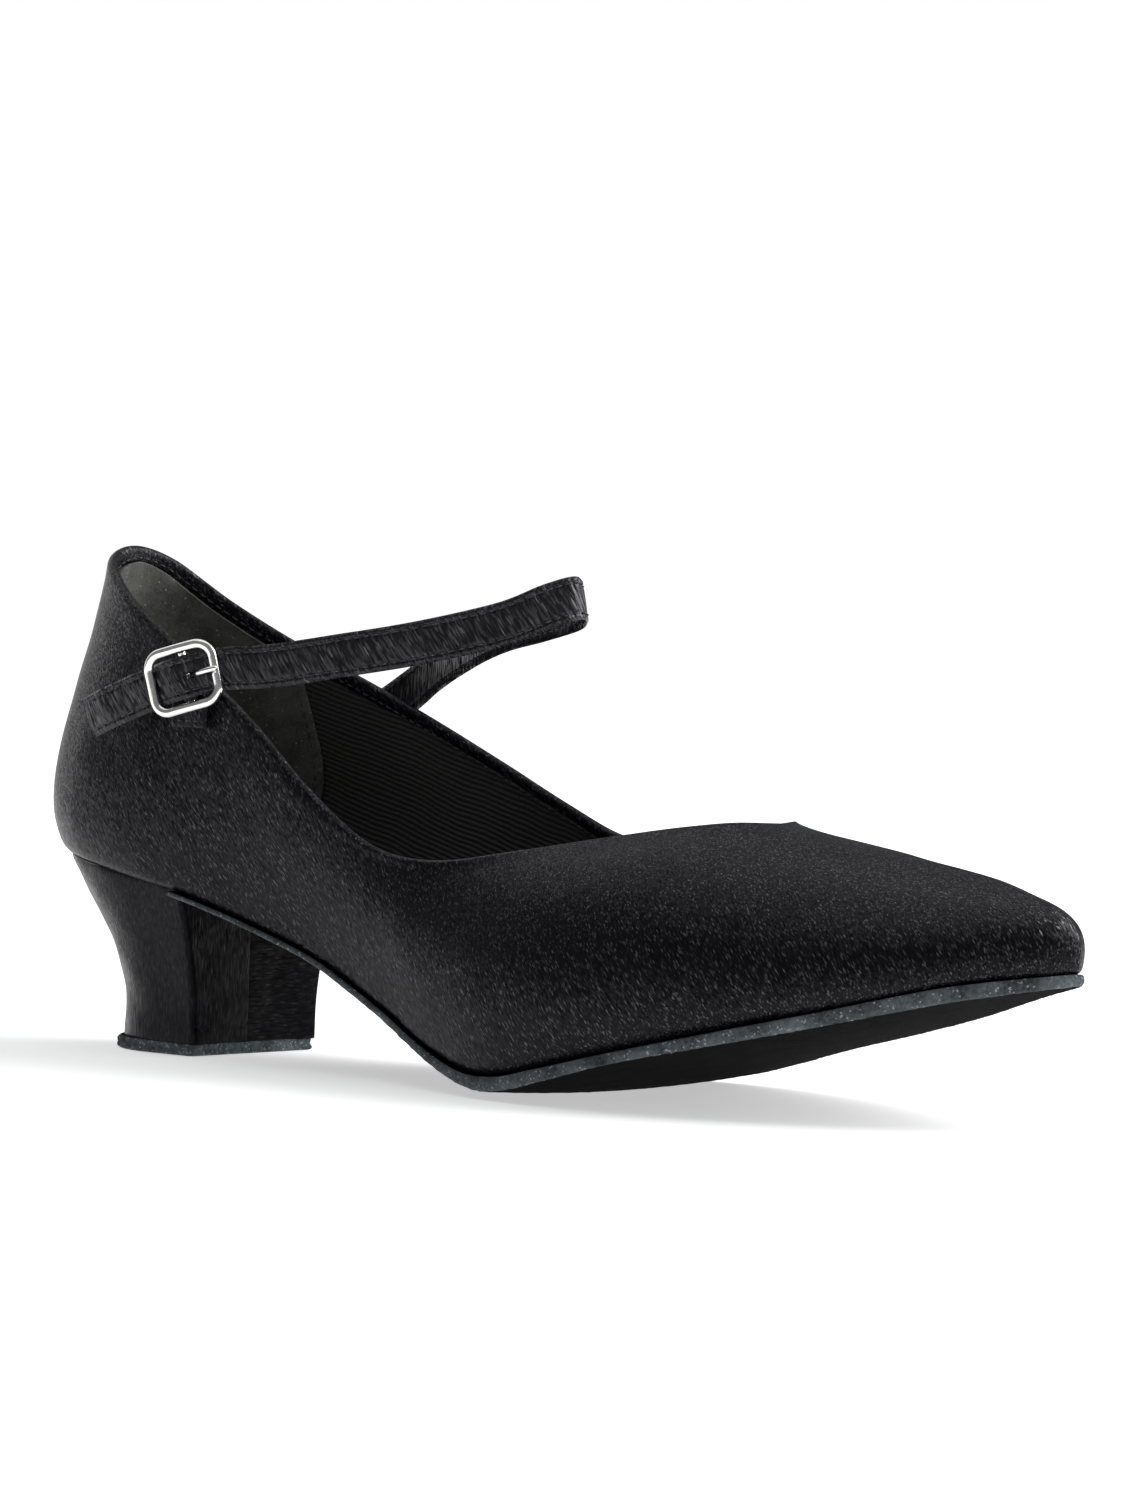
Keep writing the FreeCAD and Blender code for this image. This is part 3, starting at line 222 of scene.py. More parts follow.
class Surface:
    """Gathers grids of points into one mesh."""

    def __init__(self):
        self.points, self.faces, self.uvs = [], [], []

    def grid(self, points, uv=None, around=False, along=False, keep=None):
        """Quads over a grid; around closes each row of it and along closes the columns."""
        rows, columns = points.shape[:2]
        first = sum(len(p) for p in self.points)
        self.points.append(points.reshape(-1, 3))
        if uv is None:
            uv = np.zeros((rows, columns, 2))
        self.uvs.append(uv.reshape(-1, 2))
        for i in range(rows if along else rows - 1):
            for j in range(columns if around else columns - 1):
                if keep is not None and not keep[i, j]:
                    continue
                after_i, after_j = (i + 1) % rows, (j + 1) % columns
                self.faces.append([first + i * columns + j, first + i * columns + after_j,
                                   first + after_i * columns + after_j,
                                   first + after_i * columns + j])
        return self

    def finish(self, name, body, finish, slot, replaces=(), crease=45, merge=0.004, bend=None):
        """The mesh as an object with a material. It rides on a body, if one is given; with a bend,
        which is a pair of places in metres, its placement is baked into its points, and the places
        themselves are not used."""
        points, uvs = np.vstack(self.points), np.vstack(self.uvs)
        data = bpy.data.meshes.new(name)
        data.from_pydata((points * MM).tolist(), [], self.faces)
        corners = np.empty(len(data.loops), int)
        data.loops.foreach_get("vertex_index", corners)
        layer = data.uv_layers.new(name="UVMap")
        layer.data.foreach_set("uv", uvs[corners].astype(np.float32).ravel())
        work = bmesh.new()
        work.from_mesh(data)
        bmesh.ops.remove_doubles(work, verts=work.verts, dist=merge * MM)
        bmesh.ops.recalc_face_normals(work, faces=work.faces)
        work.to_mesh(data)
        work.free()
        data.shade_smooth()
        data.set_sharp_from_angle(angle=math.radians(crease))
        data.materials.append(finish)
        piece = bpy.data.objects.new(name, data)
        bpy.context.scene.collection.objects.link(piece)
        if body:
            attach(piece, body)
        if replaces:
            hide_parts(*replaces)
        if bend:
            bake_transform(piece)
        return piece


def lengths_along(points, axis):
    """Distance walked along one axis of a grid of points."""
    steps = np.linalg.norm(np.diff(points, axis=axis), axis=-1)
    start = np.zeros_like(np.take(steps, [0], axis=axis))
    return np.concatenate([start, np.cumsum(steps, axis=axis)], axis=axis)


def lengths_both(points):
    """Texture coordinates in millimetres: the distances walked along both axes of a grid."""
    return np.stack([lengths_along(points, 0), lengths_along(points, 1)], axis=-1)


def walk(line):
    """Distance walked along a line at each of its points."""
    return lengths_along(line[None], 1)[0]


def read_off(places, walked, rows):
    """Values of rows at places along the line on which walked says where each row is."""
    return np.column_stack([np.interp(places, walked, column) for column in rows.T])


def resample(path, count):
    """The same line with evenly spaced points."""
    path = np.asarray(path, float)
    walked = walk(path)
    return read_off(np.linspace(0, walked[-1], count), walked, path)


RIM_STEPS = 5                    # points that round off a rim between its two corners


def closed_section(outer, inner, bulge=0.5):
    """Joins two grids into closed loops, with a rounded rim at each end of every row."""
    def rim(a, b, inside_a, inside_b):
        middle = (a + b) / 2
        thickness = np.linalg.norm(a - b, axis=-1, keepdims=True)
        out = unit((a - inside_a) + (b - inside_b)) * thickness * bulge
        turns = [math.pi * k / (RIM_STEPS + 1) for k in range(1, RIM_STEPS + 1)]
        rows = [middle + (a - middle) * math.cos(t) + out * math.sin(t) for t in turns]
        return np.stack(rows, axis=1)

    high = rim(outer[:, -1], inner[:, -1], outer[:, -2], inner[:, -2])
    low = rim(inner[:, 0], outer[:, 0], inner[:, 1], outer[:, 1])
    return np.concatenate([outer, high, inner[:, ::-1], low], axis=1)


def capped_patch(surface, outer, inner, bulge=0.5):
    """A thin closed patch with rounded rims and rounded ends."""
    loops = closed_section(outer, inner, bulge)
    surface.grid(loops, lengths_both(loops), around=True)
    for end, near in ((0, 1), (-1, -2)):
        away = unit(outer[end].mean(axis=0) - outer[near].mean(axis=0))
        half = np.linalg.norm(outer[end] - inner[end], axis=-1).mean() / 2
        ring = loops[end]
        core = (outer[end] + inner[end]) / 2
        between = np.concatenate([core, np.repeat(core[-1:], RIM_STEPS, axis=0),
                                  core[::-1], np.repeat(core[:1], RIM_STEPS, axis=0)])
        caps = [ring + (between - ring) * (1 - math.cos(t)) + away * half * math.sin(t)
                for t in (0, math.pi / 6, math.pi / 3, math.pi / 2)]
        surface.grid(np.stack(caps), around=True)


def tube(surface, path, side, radii, closed=False, sections=14, taper=None):
    """A round bar along a path; side is the direction of the first radius at each point."""
    path = np.asarray(path, float)
    if closed:
        tangent = np.roll(path, -1, axis=0) - np.roll(path, 1, axis=0)
    else:
        tangent = np.gradient(path, axis=0)
    tangent = unit(tangent)
    side = np.broadcast_to(side, path.shape)
    side = unit(side - tangent * (side * tangent).sum(axis=-1, keepdims=True))
    other = np.cross(tangent, side)
    taper = np.ones(len(path)) if taper is None else np.asarray(taper)
    angles = np.linspace(0, 2 * math.pi, sections, endpoint=False)
    rings = (path[:, None] + taper[:, None, None]
             * (side[:, None] * np.cos(angles)[None, :, None] * radii[0]
                + other[:, None] * np.sin(angles)[None, :, None] * radii[1]))
    surface.grid(rings, around=True, along=closed)


def rounded_ends(path, radius):
    """Extends a path past its ends with a taper that closes them as domes."""
    path = np.asarray(path, float)
    start, end = unit(path[0] - path[1]), unit(path[-1] - path[-2])
    turns = np.array([0.98, 0.85, 0.6, 0.3])
    heads = [path[0] + start * radius * math.sin(t * math.pi / 2) for t in turns]
    tails = [path[-1] + end * radius * math.sin(t * math.pi / 2) for t in turns[::-1]]
    shrink = np.cos(turns * math.pi / 2)
    taper = np.concatenate([shrink, np.ones(len(path)), shrink[::-1]])
    return np.vstack([heads, path, tails]), taper


THREAD_RADIUS, THREAD_SUNK = 0.17, 0.05
STITCH_POINTS = 7                # points along one stitch


def stitch_row(surface, path, normals, pitch=2.0, length=1.45, radius=THREAD_RADIUS):
    """Thread stitches along a line on a surface: each dips into the cloth at both ends."""
    normals = np.broadcast_to(normals, path.shape)
    walked = walk(path)
    count = int(walked[-1] // pitch)
    bow = np.sin(np.linspace(0, math.pi, STITCH_POINTS)) ** 0.6
    rise = ((radius + THREAD_SUNK) * bow - THREAD_SUNK)[:, None]
    for k in range(count):
        centre = (k + 0.5) * walked[-1] / count
        places = np.linspace(centre - length / 2, centre + length / 2, STITCH_POINTS)
        lift = read_off(places, walked, normals)
        tube(surface, read_off(places, walked, path) + lift * rise,
             lift[STITCH_POINTS // 2], (radius, radius), sections=6, taper=np.maximum(bow, 0.25))


# ---------------------------------------------------------------- materials
class Finish:
    """Builds a procedural material around one Principled shader."""

    def __init__(self, name, roughness, **fixed):
        self.material = bpy.data.materials.new(name)
        self.material.use_nodes = True
        self.tree = self.material.node_tree
        self.shader = self.tree.nodes["Principled BSDF"]
        self.shader.inputs["Roughness"].default_value = roughness
        for socket, value in fixed.items():
            self.shader.inputs[socket.replace("_", " ")].default_value = value
        self.height = None

    def node(self, kind, settings=None, **inputs):
        made = self.tree.nodes.new("ShaderNode" + kind)
        for key, value in (settings or {}).items():
            setattr(made, key, value)
        for key, value in inputs.items():
            socket = made.inputs[int(key[1:])] if key[0] == "_" else made.inputs[key]
            if isinstance(value, bpy.types.NodeSocket):
                self.tree.links.new(value, socket)
            else:
                socket.default_value = value
        return made

    def coordinates(self, kind="Object", turn=(0, 0, 0), scale=(1, 1, 1)):
        """Texture coordinates, turned and stretched; sizes are in cells to the millimetre."""
        source = self.node("TexCoord").outputs[kind]
        per_unit = 1.0 if kind == "UV" else 1 / MM
        turned = self.node("Mapping", None, Vector=source, Rotation=turn)
        return self.node("Mapping", None, Vector=turned.outputs[0],
                         Scale=tuple(per_unit * f for f in scale)).outputs[0]

    def math(self, operation, first, second=0.0, third=0.0):
        return self.node("Math", {"operation": operation}, _0=first, _1=second,
                         _2=third).outputs[0]

    def vector(self, operation, first, **inputs):
        return self.node("VectorMath", {"operation": operation}, _0=first, **inputs).outputs[0]

    def ramp(self, factor, stops):
        """Colours or greys along a factor: (place, colour)."""
        made = self.node("ValToRGB", None, Fac=factor)
        elements = made.color_ramp.elements
        while len(elements) < len(stops):
            elements.new(0.5)
        for element, (place, colour) in zip(elements, stops):
            element.position = place
            element.color = (*colour, 1) if len(colour) == 3 else colour
        return made.outputs[0]

    def mix(self, factor, first, second):
        made = self.node("Mix", {"data_type": "RGBA"}, _0=factor, _6=first, _7=second)
        return made.outputs[2]

    def noise(self, vector, scale, detail=2.0, roughness=0.5):
        return self.node("TexNoise", None, Vector=vector, Scale=scale, Detail=detail,
                         Roughness=roughness).outputs[0]

    def cells(self, vector, scale=1.0):
        """(distance to the middle of the cell, random colour and random value of the cell)."""
        made = self.node("TexVoronoi", None, Vector=vector, Scale=scale)
        random_value = self.node("SeparateColor", None, Color=made.outputs[1]).outputs[0]
        return made.outputs[0], made.outputs[1], random_value

    def drive(self, socket, value):
        """Lets a node's output set one of the shader's sockets."""
        self.tree.links.new(value, self.shader.inputs[socket])

    def bump(self, height, strength, distance):
        """Adds a layer of relief; distance is in millimetres."""
        made = self.node("Bump", None, Strength=strength, Distance=distance * MM, Height=height)
        if self.height:
            self.tree.links.new(self.height, made.inputs["Normal"])
        self.height = made.outputs[0]
        self.drive("Normal", self.height)


def grey(value, tint=(1.0, 1.0, 1.0)):
    return tuple(value * t for t in tint) + (1.0,)


NIGHT = (0.98, 0.92, 1.20)       # the satin's cool, slightly violet black
NIGHT_GLOSS = (0.96, 0.92, 1.0)  # the tint of its highlights
MOSS = (1.0, 1.02, 0.92)         # the warm green-grey of the suede grip


def satin(name, turn, kind="Object", cell=(1 / 0.22, 1 / 0.22, 1 / 1.0), dark=0.0024,
          light=0.070, gloss=0.13, tilt=0.36, glint=0.87, front=None):
    """Satin whose floats run along the third axis of the turned coordinates.

    Each float is a thin cell with its own tone, gloss and slight tilt, so that it glints. The
    rarest floats also get a lighter colour, towards light: these are painted glints.
    Ahead of front, a place along X in millimetres, the cloth is darkened with painted shade: its
    colour and its gloss fall to 0.40.
    """
    make = Finish(name, 0.34)
    make.shader.inputs["Specular Tint"].default_value = grey(1.0, NIGHT_GLOSS)
    middle, draw, chance = make.cells(make.coordinates(kind, turn, cell))
    core = make.ramp(middle, [(0.0, grey(1.0)), (0.45, grey(0.55)), (0.75, grey(0.0))])
    painted_glint = make.math("MULTIPLY", make.math("POWER", chance, 6.0), core)
    broad = make.noise(make.coordinates(kind), 0.035, 3.0)
    cloth = make.mix(broad, grey(dark * 0.75, NIGHT), grey(dark * 1.35, NIGHT))
    # painted highlight: the rarest floats are drawn in the light colour as painted glints
    tone = make.mix(painted_glint, cloth, grey(light, NIGHT))
    streaks = make.noise(make.coordinates(kind, turn, tuple(c * 0.5 for c in cell)), 1.0, 1.0)
    sheen = make.math("MULTIPLY_ADD", painted_glint, glint, gloss)
    sheen = make.math("MULTIPLY", sheen, make.math("MULTIPLY_ADD", streaks, 1.4, 0.3))
    # painted shade: ahead of front the colour and the gloss fall to 0.40 of their values
    if front is not None:
        ahead = make.node("SeparateXYZ", None, Vector=make.node("TexCoord").outputs["Object"])
        shade = make.node("MapRange", None, Value=ahead.outputs[0], _1=(front - 1.2) * MM,
                          _2=front * MM, _3=1.0, _4=0.40).outputs[0]
        tone = make.mix(shade, grey(0.0), tone)
        sheen = make.math("MULTIPLY", sheen, shade)
    make.drive("Base Color", tone)
    make.drive("Specular IOR Level", make.math("MAXIMUM", sheen, 0.0))
    lean = make.vector("SCALE", make.vector("SUBTRACT", draw, _1=(0.5, 0.5, 0.5)), Scale=tilt)
    facing = make.node("NewGeometry").outputs["Normal"]
    make.height = make.vector("NORMALIZE", make.vector("ADD", facing, _1=lean))
    fine = make.noise(make.coordinates(kind, turn, (4.0, 4.0, 0.8)), 1.0, 2.0)
    make.bump(fine, 0.35, 0.05)
    return make.material


def suede(name, dark, light, tint, nap=0.35, relief=0.16, sheen=0.6, flecks=0.05, gloss=0.15):
    """Brushed suede: cloudy nap, short fibres and a soft sheen."""
    make = Finish(name, 0.95, Sheen_Weight=sheen, Sheen_Roughness=0.55,
                  Specular_IOR_Level=gloss)
    make.shader.inputs["Sheen Tint"].default_value = grey(0.8, tint)
    place = make.coordinates()
    clouds = make.noise(place, 0.16, 4.0, 0.6)
    fibres = make.noise(place, 1 / nap, 5.0, 0.75)
    shade = make.math("ADD", make.math("MULTIPLY", clouds, 0.55),
                      make.math("MULTIPLY", fibres, 0.45))
    body = make.ramp(shade, [(0.36, grey(dark, tint)), (0.64, grey(light, tint))])
    chance = make.cells(make.coordinates(), 3.2)[2]
    speckled = make.mix(make.math("GREATER_THAN", chance, 1 - flecks), body,
                        grey(light * 1.9, tint))
    make.drive("Base Color", speckled)
    make.bump(fibres, 0.9, relief)
    make.bump(clouds, 0.5, 0.25)
    return make.material


def twill(name):
    """Black cotton twill: fine slanting ribs that waver a little."""
    make = Finish(name, 0.82, Sheen_Weight=0.25, Sheen_Roughness=0.5, Specular_IOR_Level=0.25)
    slanted = make.coordinates(turn=(0, math.radians(-16), 0), scale=(0.12, 0.12, 1.0))
    drift = make.noise(make.coordinates(scale=(0.05, 0.05, 0.05)), 1.0, 3.0)
    waver = make.node("CombineXYZ", None, Z=make.math("MULTIPLY", drift, 2.5)).outputs[0]
    rib_place = make.vector("ADD", slanted, _1=waver)
    ribs = make.node("TexWave", {"bands_direction": "Z", "wave_profile": "SIN"},
                     Vector=rib_place, Scale=0.33, Distortion=1.2, Detail=2.0,
                     _4=1.4).outputs[1]
    fuzz = make.noise(make.coordinates(), 2.6, 3.0, 0.6)
    wear = make.noise(make.coordinates(), 0.06, 3.0)
    base = make.mix(make.math("MULTIPLY", ribs, fuzz), grey(0.003), grey(0.090, MOSS))
    make.drive("Base Color", make.mix(make.math("MULTIPLY", wear, 0.45), base, grey(0.007)))
    make.bump(ribs, 0.9, 0.22)
    make.bump(fuzz, 0.4, 0.06)
    return make.material


def metal(name, colour, roughness, scratch=0.12):
    """Plated or plain metal with faint polishing lines and handling marks."""
    make = Finish(name, roughness, Metallic=1.0)
    lines = make.noise(make.coordinates(scale=(1.0, 9.0, 1.0)), 1.2, 3.0)
    marks = make.noise(make.coordinates(), 0.5, 4.0)
    make.drive("Base Color", make.mix(marks, grey(colour * 0.93, (1, 0.98, 0.92)), grey(colour)))
    make.drive("Roughness", make.math("ADD", roughness, make.math("MULTIPLY", marks, scratch)))
    make.bump(lines, 0.08, 0.03)
    return make.material


def matt(name, low, high, cell, roughness=0.85, relief=0.1):
    """A plain hidden stuff: board, foam, plastic or interlining, with its own grain."""
    make = Finish(name, roughness)
    grain = make.noise(make.coordinates(), 1 / cell, 4.0, 0.6)
    make.drive("Base Color", make.mix(grain, (*low, 1.0), (*high, 1.0)))
    make.drive("Roughness", make.math("ADD", roughness - 0.1, make.math("MULTIPLY", grain, 0.2)))
    make.bump(grain, 0.6, relief)
    return make.material


SLANT = math.radians(38)
UPPER_SATIN = satin("upper_satin_finish", (0, SLANT, 0))
# The heel cover gets painted shade ahead of x = 14.2 mm, on its faces towards the breast.
HEEL_SATIN = satin("heel_satin_finish", (0, 0, 0), cell=(1 / 0.24, 1 / 0.24, 1 / 1.6),
                   dark=0.0050, light=0.020, gloss=0.14, tilt=0.22, glint=0.25, front=14.2)
# painted shade: the breast's satin has a darker colour and much weaker gloss and glints than the
# heel cover's
BREAST_SATIN_IN_PAINTED_SHADE = satin("breast_satin_finish", (math.pi / 2, 0, 0),
                     cell=(1 / 0.3, 1 / 0.3, 1 / 1.8), dark=0.0020, light=0.006, gloss=0.03,
                     tilt=0.20, glint=0.10)
STRAP_SATIN = satin("strap_satin_finish", (math.pi / 2, 0, 0), kind="UV",
                    cell=(1 / 0.30, 1 / 1.0, 1 / 2.0), dark=0.0050, light=0.050, gloss=0.36,
                    tilt=0.58)
LINING = twill("lining_twill_finish")
GRIP = suede("grip_suede_finish", 0.034, 0.130, MOSS, nap=0.5, relief=0.12, sheen=0.12,
             flecks=0.01)
SOLE = suede("sole_suede_finish", 0.0008, 0.0050, (0.95, 1.02, 0.95), nap=0.4, sheen=0.0,
             flecks=0.008, gloss=0.03)
SOLE_EDGE = suede("sole_edge_finish", 0.008, 0.150, (0.88, 1.02, 1.10), nap=0.7, relief=0.5,
                  sheen=0.10, flecks=0.05)
SOCK = suede("sock_finish", 0.005, 0.010, (1.0, 1.0, 1.0), nap=0.25, relief=0.05, sheen=0.1,
             flecks=0.0)
NICKEL = metal("nickel_finish", 0.97, 0.12)
STEEL = metal("steel_finish", 0.55, 0.32, 0.25)
THREAD = satin("thread_finish", (0, 0, 0), cell=(4.0, 4.0, 4.0), dark=0.050, light=0.14)
FOAM = matt("foam_finish", (0.55, 0.50, 0.38), (0.75, 0.70, 0.55), 0.5)
FIBREBOARD = matt("fibreboard_finish", (0.22, 0.13, 0.07), (0.36, 0.24, 0.14), 0.4)
STIFFENER = matt("stiffener_finish", (0.42, 0.38, 0.30), (0.60, 0.56, 0.46), 0.6)
INTERLINING = matt("interlining_finish", (0.55, 0.55, 0.53), (0.75, 0.75, 0.72), 0.3)
PLASTIC = matt("heel_plastic_finish", (0.02, 0.02, 0.02), (0.05, 0.05, 0.05), 0.8, 0.5, 0.03)

HIDDEN = {
    "heel_counter": STIFFENER, "toe_puff": STIFFENER, "lateral_interlining": INTERLINING,
    "medial_interlining": INTERLINING, "insole_board": FIBREBOARD, "shank": STEEL,
    "bottom_filler": FOAM, "insole_foam": FOAM, "seat_nails": STEEL, "heel_screw": STEEL,
    "shank_rivets": STEEL, "heel_block": PLASTIC, "heel_tip_pins": STEEL}
for node, finish in HIDDEN.items():
    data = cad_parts[node].data
    if not data.materials:
        data.materials.append(finish)
    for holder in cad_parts[node].material_slots:
        holder.material = finish

# ---------------------------------------------------------------- upper
EDGE_RADIUS = 1.10               # the folded edge is a roll of this radius
BAND_DROP = 3.1                  # the turned-in satin ends this far below the edge
SATIN_DEPTH = 0.9
FLANGE = [0.34, 0.2, 0.09]       # how far in towards the spine the margin's points lie
FEATHER_TURN = [0.2, 0.4, 0.6, 0.8]
LOW_ROW = 12                     # the row of the wall just above the feather line
SPINE_REAR, SPINE_FRONT = -10.0, 182.0
WALL = np.concatenate([np.linspace(0.05, 0.9, 30), [0.94]])
ROLL = [math.pi * k / 8 for k in range(9)]


def flange_point(s, share, lift):
    """Points of the margin that is turned in under the insole board."""
    plan = feather_plan(s)
    far_y = feather_plan(-s)[:, 1]
    spine_x = np.clip(plan[:, 0], SPINE_REAR, SPINE_FRONT)
    x = plan[:, 0] + (spine_x - plan[:, 0]) * share
    y = plan[:, 1] + ((plan[:, 1] + far_y) / 2 - plan[:, 1]) * share
    return np.column_stack([x, y, feather_height(x) + lift])


WHOLE = np.linspace(-1, 1, 401)


def eased_wall(depth):
    """The wall at the WHOLE stations, eased where the vamp's ribs fan out by the throat."""
    wall = skin(WHOLE, WALL, depth)
    eased = wall.copy()
    for _ in range(90):
        eased[1:-1] = (eased[:-2] + 2 * eased[1:-1] + eased[2:]) / 4
    reach = np.abs(WHOLE)[:, None]
    near = np.clip((reach - 0.70) / 0.08, 0, 1) * np.clip((0.97 - reach) / 0.06, 0, 1)
    rise = np.clip((WALL - 0.2) / 0.25, 0, 1) * np.clip((0.99 - WALL) / 0.12, 0, 1)
    return wall + (near * rise)[..., None] * (eased - wall)


EASED = {depth: eased_wall(depth) for depth in (0.0, SATIN_DEPTH)}


def lasted_rows(s, depth):
    """Margin, rounded feather edge and wall of the upper at one depth."""
    margin = [flange_point(s, share, depth) for share in FLANGE]
    wall = skin(s, WALL, depth)
    eased = EASED[depth].reshape(len(WHOLE), -1)
    plain = skin(WHOLE, WALL, depth).reshape(len(WHOLE), -1)
    wall = wall + read_off(s, WHOLE, eased - plain).reshape(wall.shape)
    corner = skin(s, [0.0], depth)[:, 0]
    corner[:, 2] = np.maximum(corner[:, 2], feather_height(corner[:, 0]) + depth)
    turn = [margin[-1] * (1 - t)**2 + corner * 2 * t * (1 - t) + wall[:, 0] * t**2
            for t in FEATHER_TURN]
    return np.concatenate([np.stack(margin + turn, axis=1), wall], axis=1)


def cloth_relief(s, rows, wall_rise):
    """Moves the outer cloth in or out a little: lasting pleats, ripples and the back seam."""
    normal = unit(np.cross(np.gradient(rows, axis=1), np.gradient(rows, axis=0)))
    push = ripple(rows, 34.0, 0.10, 3) + ripple(rows, 11.0, 0.035, 4)
    reach = np.abs(s)[:, None]
    around = lengths_along(rows[:, LOW_ROW:LOW_ROW + 1], 0)
    around = around - around.max() / 2
    toe = np.clip((reach - 0.80) / 0.12, 0, 1)
    pleats = np.sin(around * 2 * math.pi / 5.2 + 1.3 * np.sin(around / 7.0))
    push = push + 0.12 * toe * pleats * np.exp(-(wall_rise / 0.16)**2)
    seam = np.abs(rows[:, :, 1]) * (reach < 0.1) + 99.0 * (reach >= 0.1)
    push = push - 0.34 * np.exp(-(seam / 0.45)**2) + 0.10 * np.exp(-((seam - 1.3) / 0.6)**2)
    return rows + normal * push[..., None]


def make_upper():
    """Satin outer: it turns in under the board, and folds over the topline to a sewn band."""
    surface = Surface()
    fine = np.array([-0.012, -0.009, -0.006, -0.004, -0.002, 0, 0.002, 0.004, 0.006, 0.009, 0.012])
    flank = np.linspace(0.02, THROAT, 150)
    quarter = np.concatenate([-flank[::-1], fine, flank])
    roll = [(EDGE_RADIUS * (1 - math.sin(t)), EDGE_RADIUS * (1 - math.cos(t))) for t in ROLL]
    band = [(below, 2 * EDGE_RADIUS) for below in np.linspace(EDGE_RADIUS + 0.4, BAND_DROP, 4)]
    hem = [(BAND_DROP + 0.12, 2 * EDGE_RADIUS - 0.15), (BAND_DROP, 2 * EDGE_RADIUS - 0.4)]
    rise = np.concatenate([np.zeros(len(FLANGE) + len(FEATHER_TURN)), WALL])
    for stations in (quarter, np.linspace(-1, -THROAT, 56), np.linspace(THROAT, 1, 56)):
        outer = cloth_relief(stations, lasted_rows(stations, 0.0), rise)
        inner = lasted_rows(stations, SATIN_DEPTH)
        keep = None
        if stations is quarter:
            edge = edge_rows(stations, roll + band + hem)
            loops = np.concatenate([outer, edge, inner[:, ::-1]], axis=1)
        else:
            head = skin(stations, [1.0])[:, 0]
            at_throat = np.abs(np.abs(stations) - THROAT) < 1e-6
            lip = edge_rows(np.clip(stations, -THROAT, THROAT), roll[:1])[:, 0]
            head[at_throat] = lip[at_throat]
            under = skin(stations, [1.0], SATIN_DEPTH)[:, 0]
            loops = np.concatenate([outer, head[:, None], under[:, None], inner[:, ::-1]],
                                   axis=1)
            keep = np.ones((loops.shape[0] - 1, loops.shape[1]), bool)
            keep[:, outer.shape[1]] = False
        surface.grid(loops, lengths_both(loops), around=True, keep=keep)
    surface.finish("upper_satin_cloth", "shoe", UPPER_SATIN, "black_satin",
                   ("upper_satin", "topline_facing"), crease=60, merge=0.02)


LINING_OUTER, LINING_INNER = 2.1, 2.7
LINING_TOP = 1.9
EDGE_THINNING = 0.58             # the layers thin by this much towards the topline


def thinning(v):
    """How much nearer to the skin the inner layers lie as they rise to the topline."""
    t = np.clip((np.asarray(v) - 0.66) / 0.26, 0, 1)
    return EDGE_THINNING * t * t * (3 - 2 * t)


def make_lining():
    """Twill lining from the board to just under the turned-in band."""
    surface = Surface()
    rises = np.linspace(0, 1, 24)
    for start, end, count in ((-THROAT, THROAT, 170), (-1, -THROAT, 40), (THROAT, 1, 40)):
        stations = np.linspace(start, end, count)
        low = 0.1 + 0.1 * np.clip((np.abs(stations) - 0.8) / 0.2, 0, 1)
        on_quarter = start < 0 < end
        high = 0.93 if on_quarter else 1.0
        v = low[:, None] + (high - low[:, None]) * rises[None, :]
        walls = []
        for depth in (LINING_OUTER, LINING_INNER):
            thin = thinning(v) * np.clip((THROAT + 0.02 - np.abs(stations)) / 0.06, 0, 1)[:, None]
            wall = skin(stations, v, depth) + thin[..., None] * skin_normal(stations, v)
            if on_quarter:
                top = (LINING_TOP, depth - EDGE_THINNING)
                wall = np.concatenate([wall, edge_rows(stations, [top])], axis=1)
            walls.append(wall)
        outer, inner = walls
        fade = np.clip(np.linspace(1.2, 0, inner.shape[1]), 0, 1)
        push = ripple(inner, 26.0, 0.08, 6) * fade ** 2
        inner = inner + push[..., None] * skin_normal(stations, [0.5])
        surface.grid(np.concatenate([outer, inner[:, ::-1]], axis=1), around=True)
    surface.finish("upper_lining_twill", "shoe", LINING, "black_lining", ("upper_lining",),
                   crease=60, merge=0.02)


GRIP_OUTER, GRIP_INNER = 2.85, 3.65
# How far the suede grip reaches forward at each rise: (v, station).
GRIP_REACH = [(0.14, 0.248), (0.3, 0.258), (0.45, 0.260), (0.6, 0.253), (0.75, 0.238),
              (0.9, 0.222), (1.0, 0.212)]


def grip_grid(depth, inset=0.0):
    """Points of the grip's face: columns run round the back, rows up the wall."""
    v = np.linspace(0.14, 0.93, 30)
    reach = smooth(GRIP_REACH, v)[:, 0] - inset
    shares = np.linspace(-1, 1, 71)
    rows = []
    for rise, far in zip(v, reach):
        rows.append(skin(shares * far, [rise], depth - thinning(rise))[:, 0])
    top = GRIP_REACH[-1][1] - inset
    place = (BAND_DROP + 0.3, depth - EDGE_THINNING)
    rows.append(edge_rows(shares * top, [place])[:, 0])
    return np.stack(rows, axis=1)


def inward_at(points):
    """Directions in plan from points of the back of the shoe towards its middle line."""
    middle = np.column_stack([np.full(len(points), 12.0), np.zeros(len(points)), points[:, 2]])
    return unit(middle - points)


def make_grip():
    """Suede heel grip, with a row of stitches down each of its front edges."""
    surface = Surface()
    outer, inner = grip_grid(GRIP_OUTER), grip_grid(GRIP_INNER)
    inner = inner + (ripple(inner, 16.0, 0.09, 8)[..., None]
                     * unit(np.cross(np.gradient(inner, axis=0), np.gradient(inner, axis=1))))
    capped_patch(surface, inner, outer)
    surface.finish("heel_grip_suede", "shoe", GRIP, "grey_suede", ("heel_grip",))
    thread = Surface()
    for end in (0, -1):
        line = resample(grip_grid(GRIP_INNER + 0.02, 0.006)[end], 60)
        stitch_row(thread, line, inward_at(line), pitch=2.1, length=1.5)
    thread.finish("heel_grip_stitches", "shoe", THREAD, "thread")


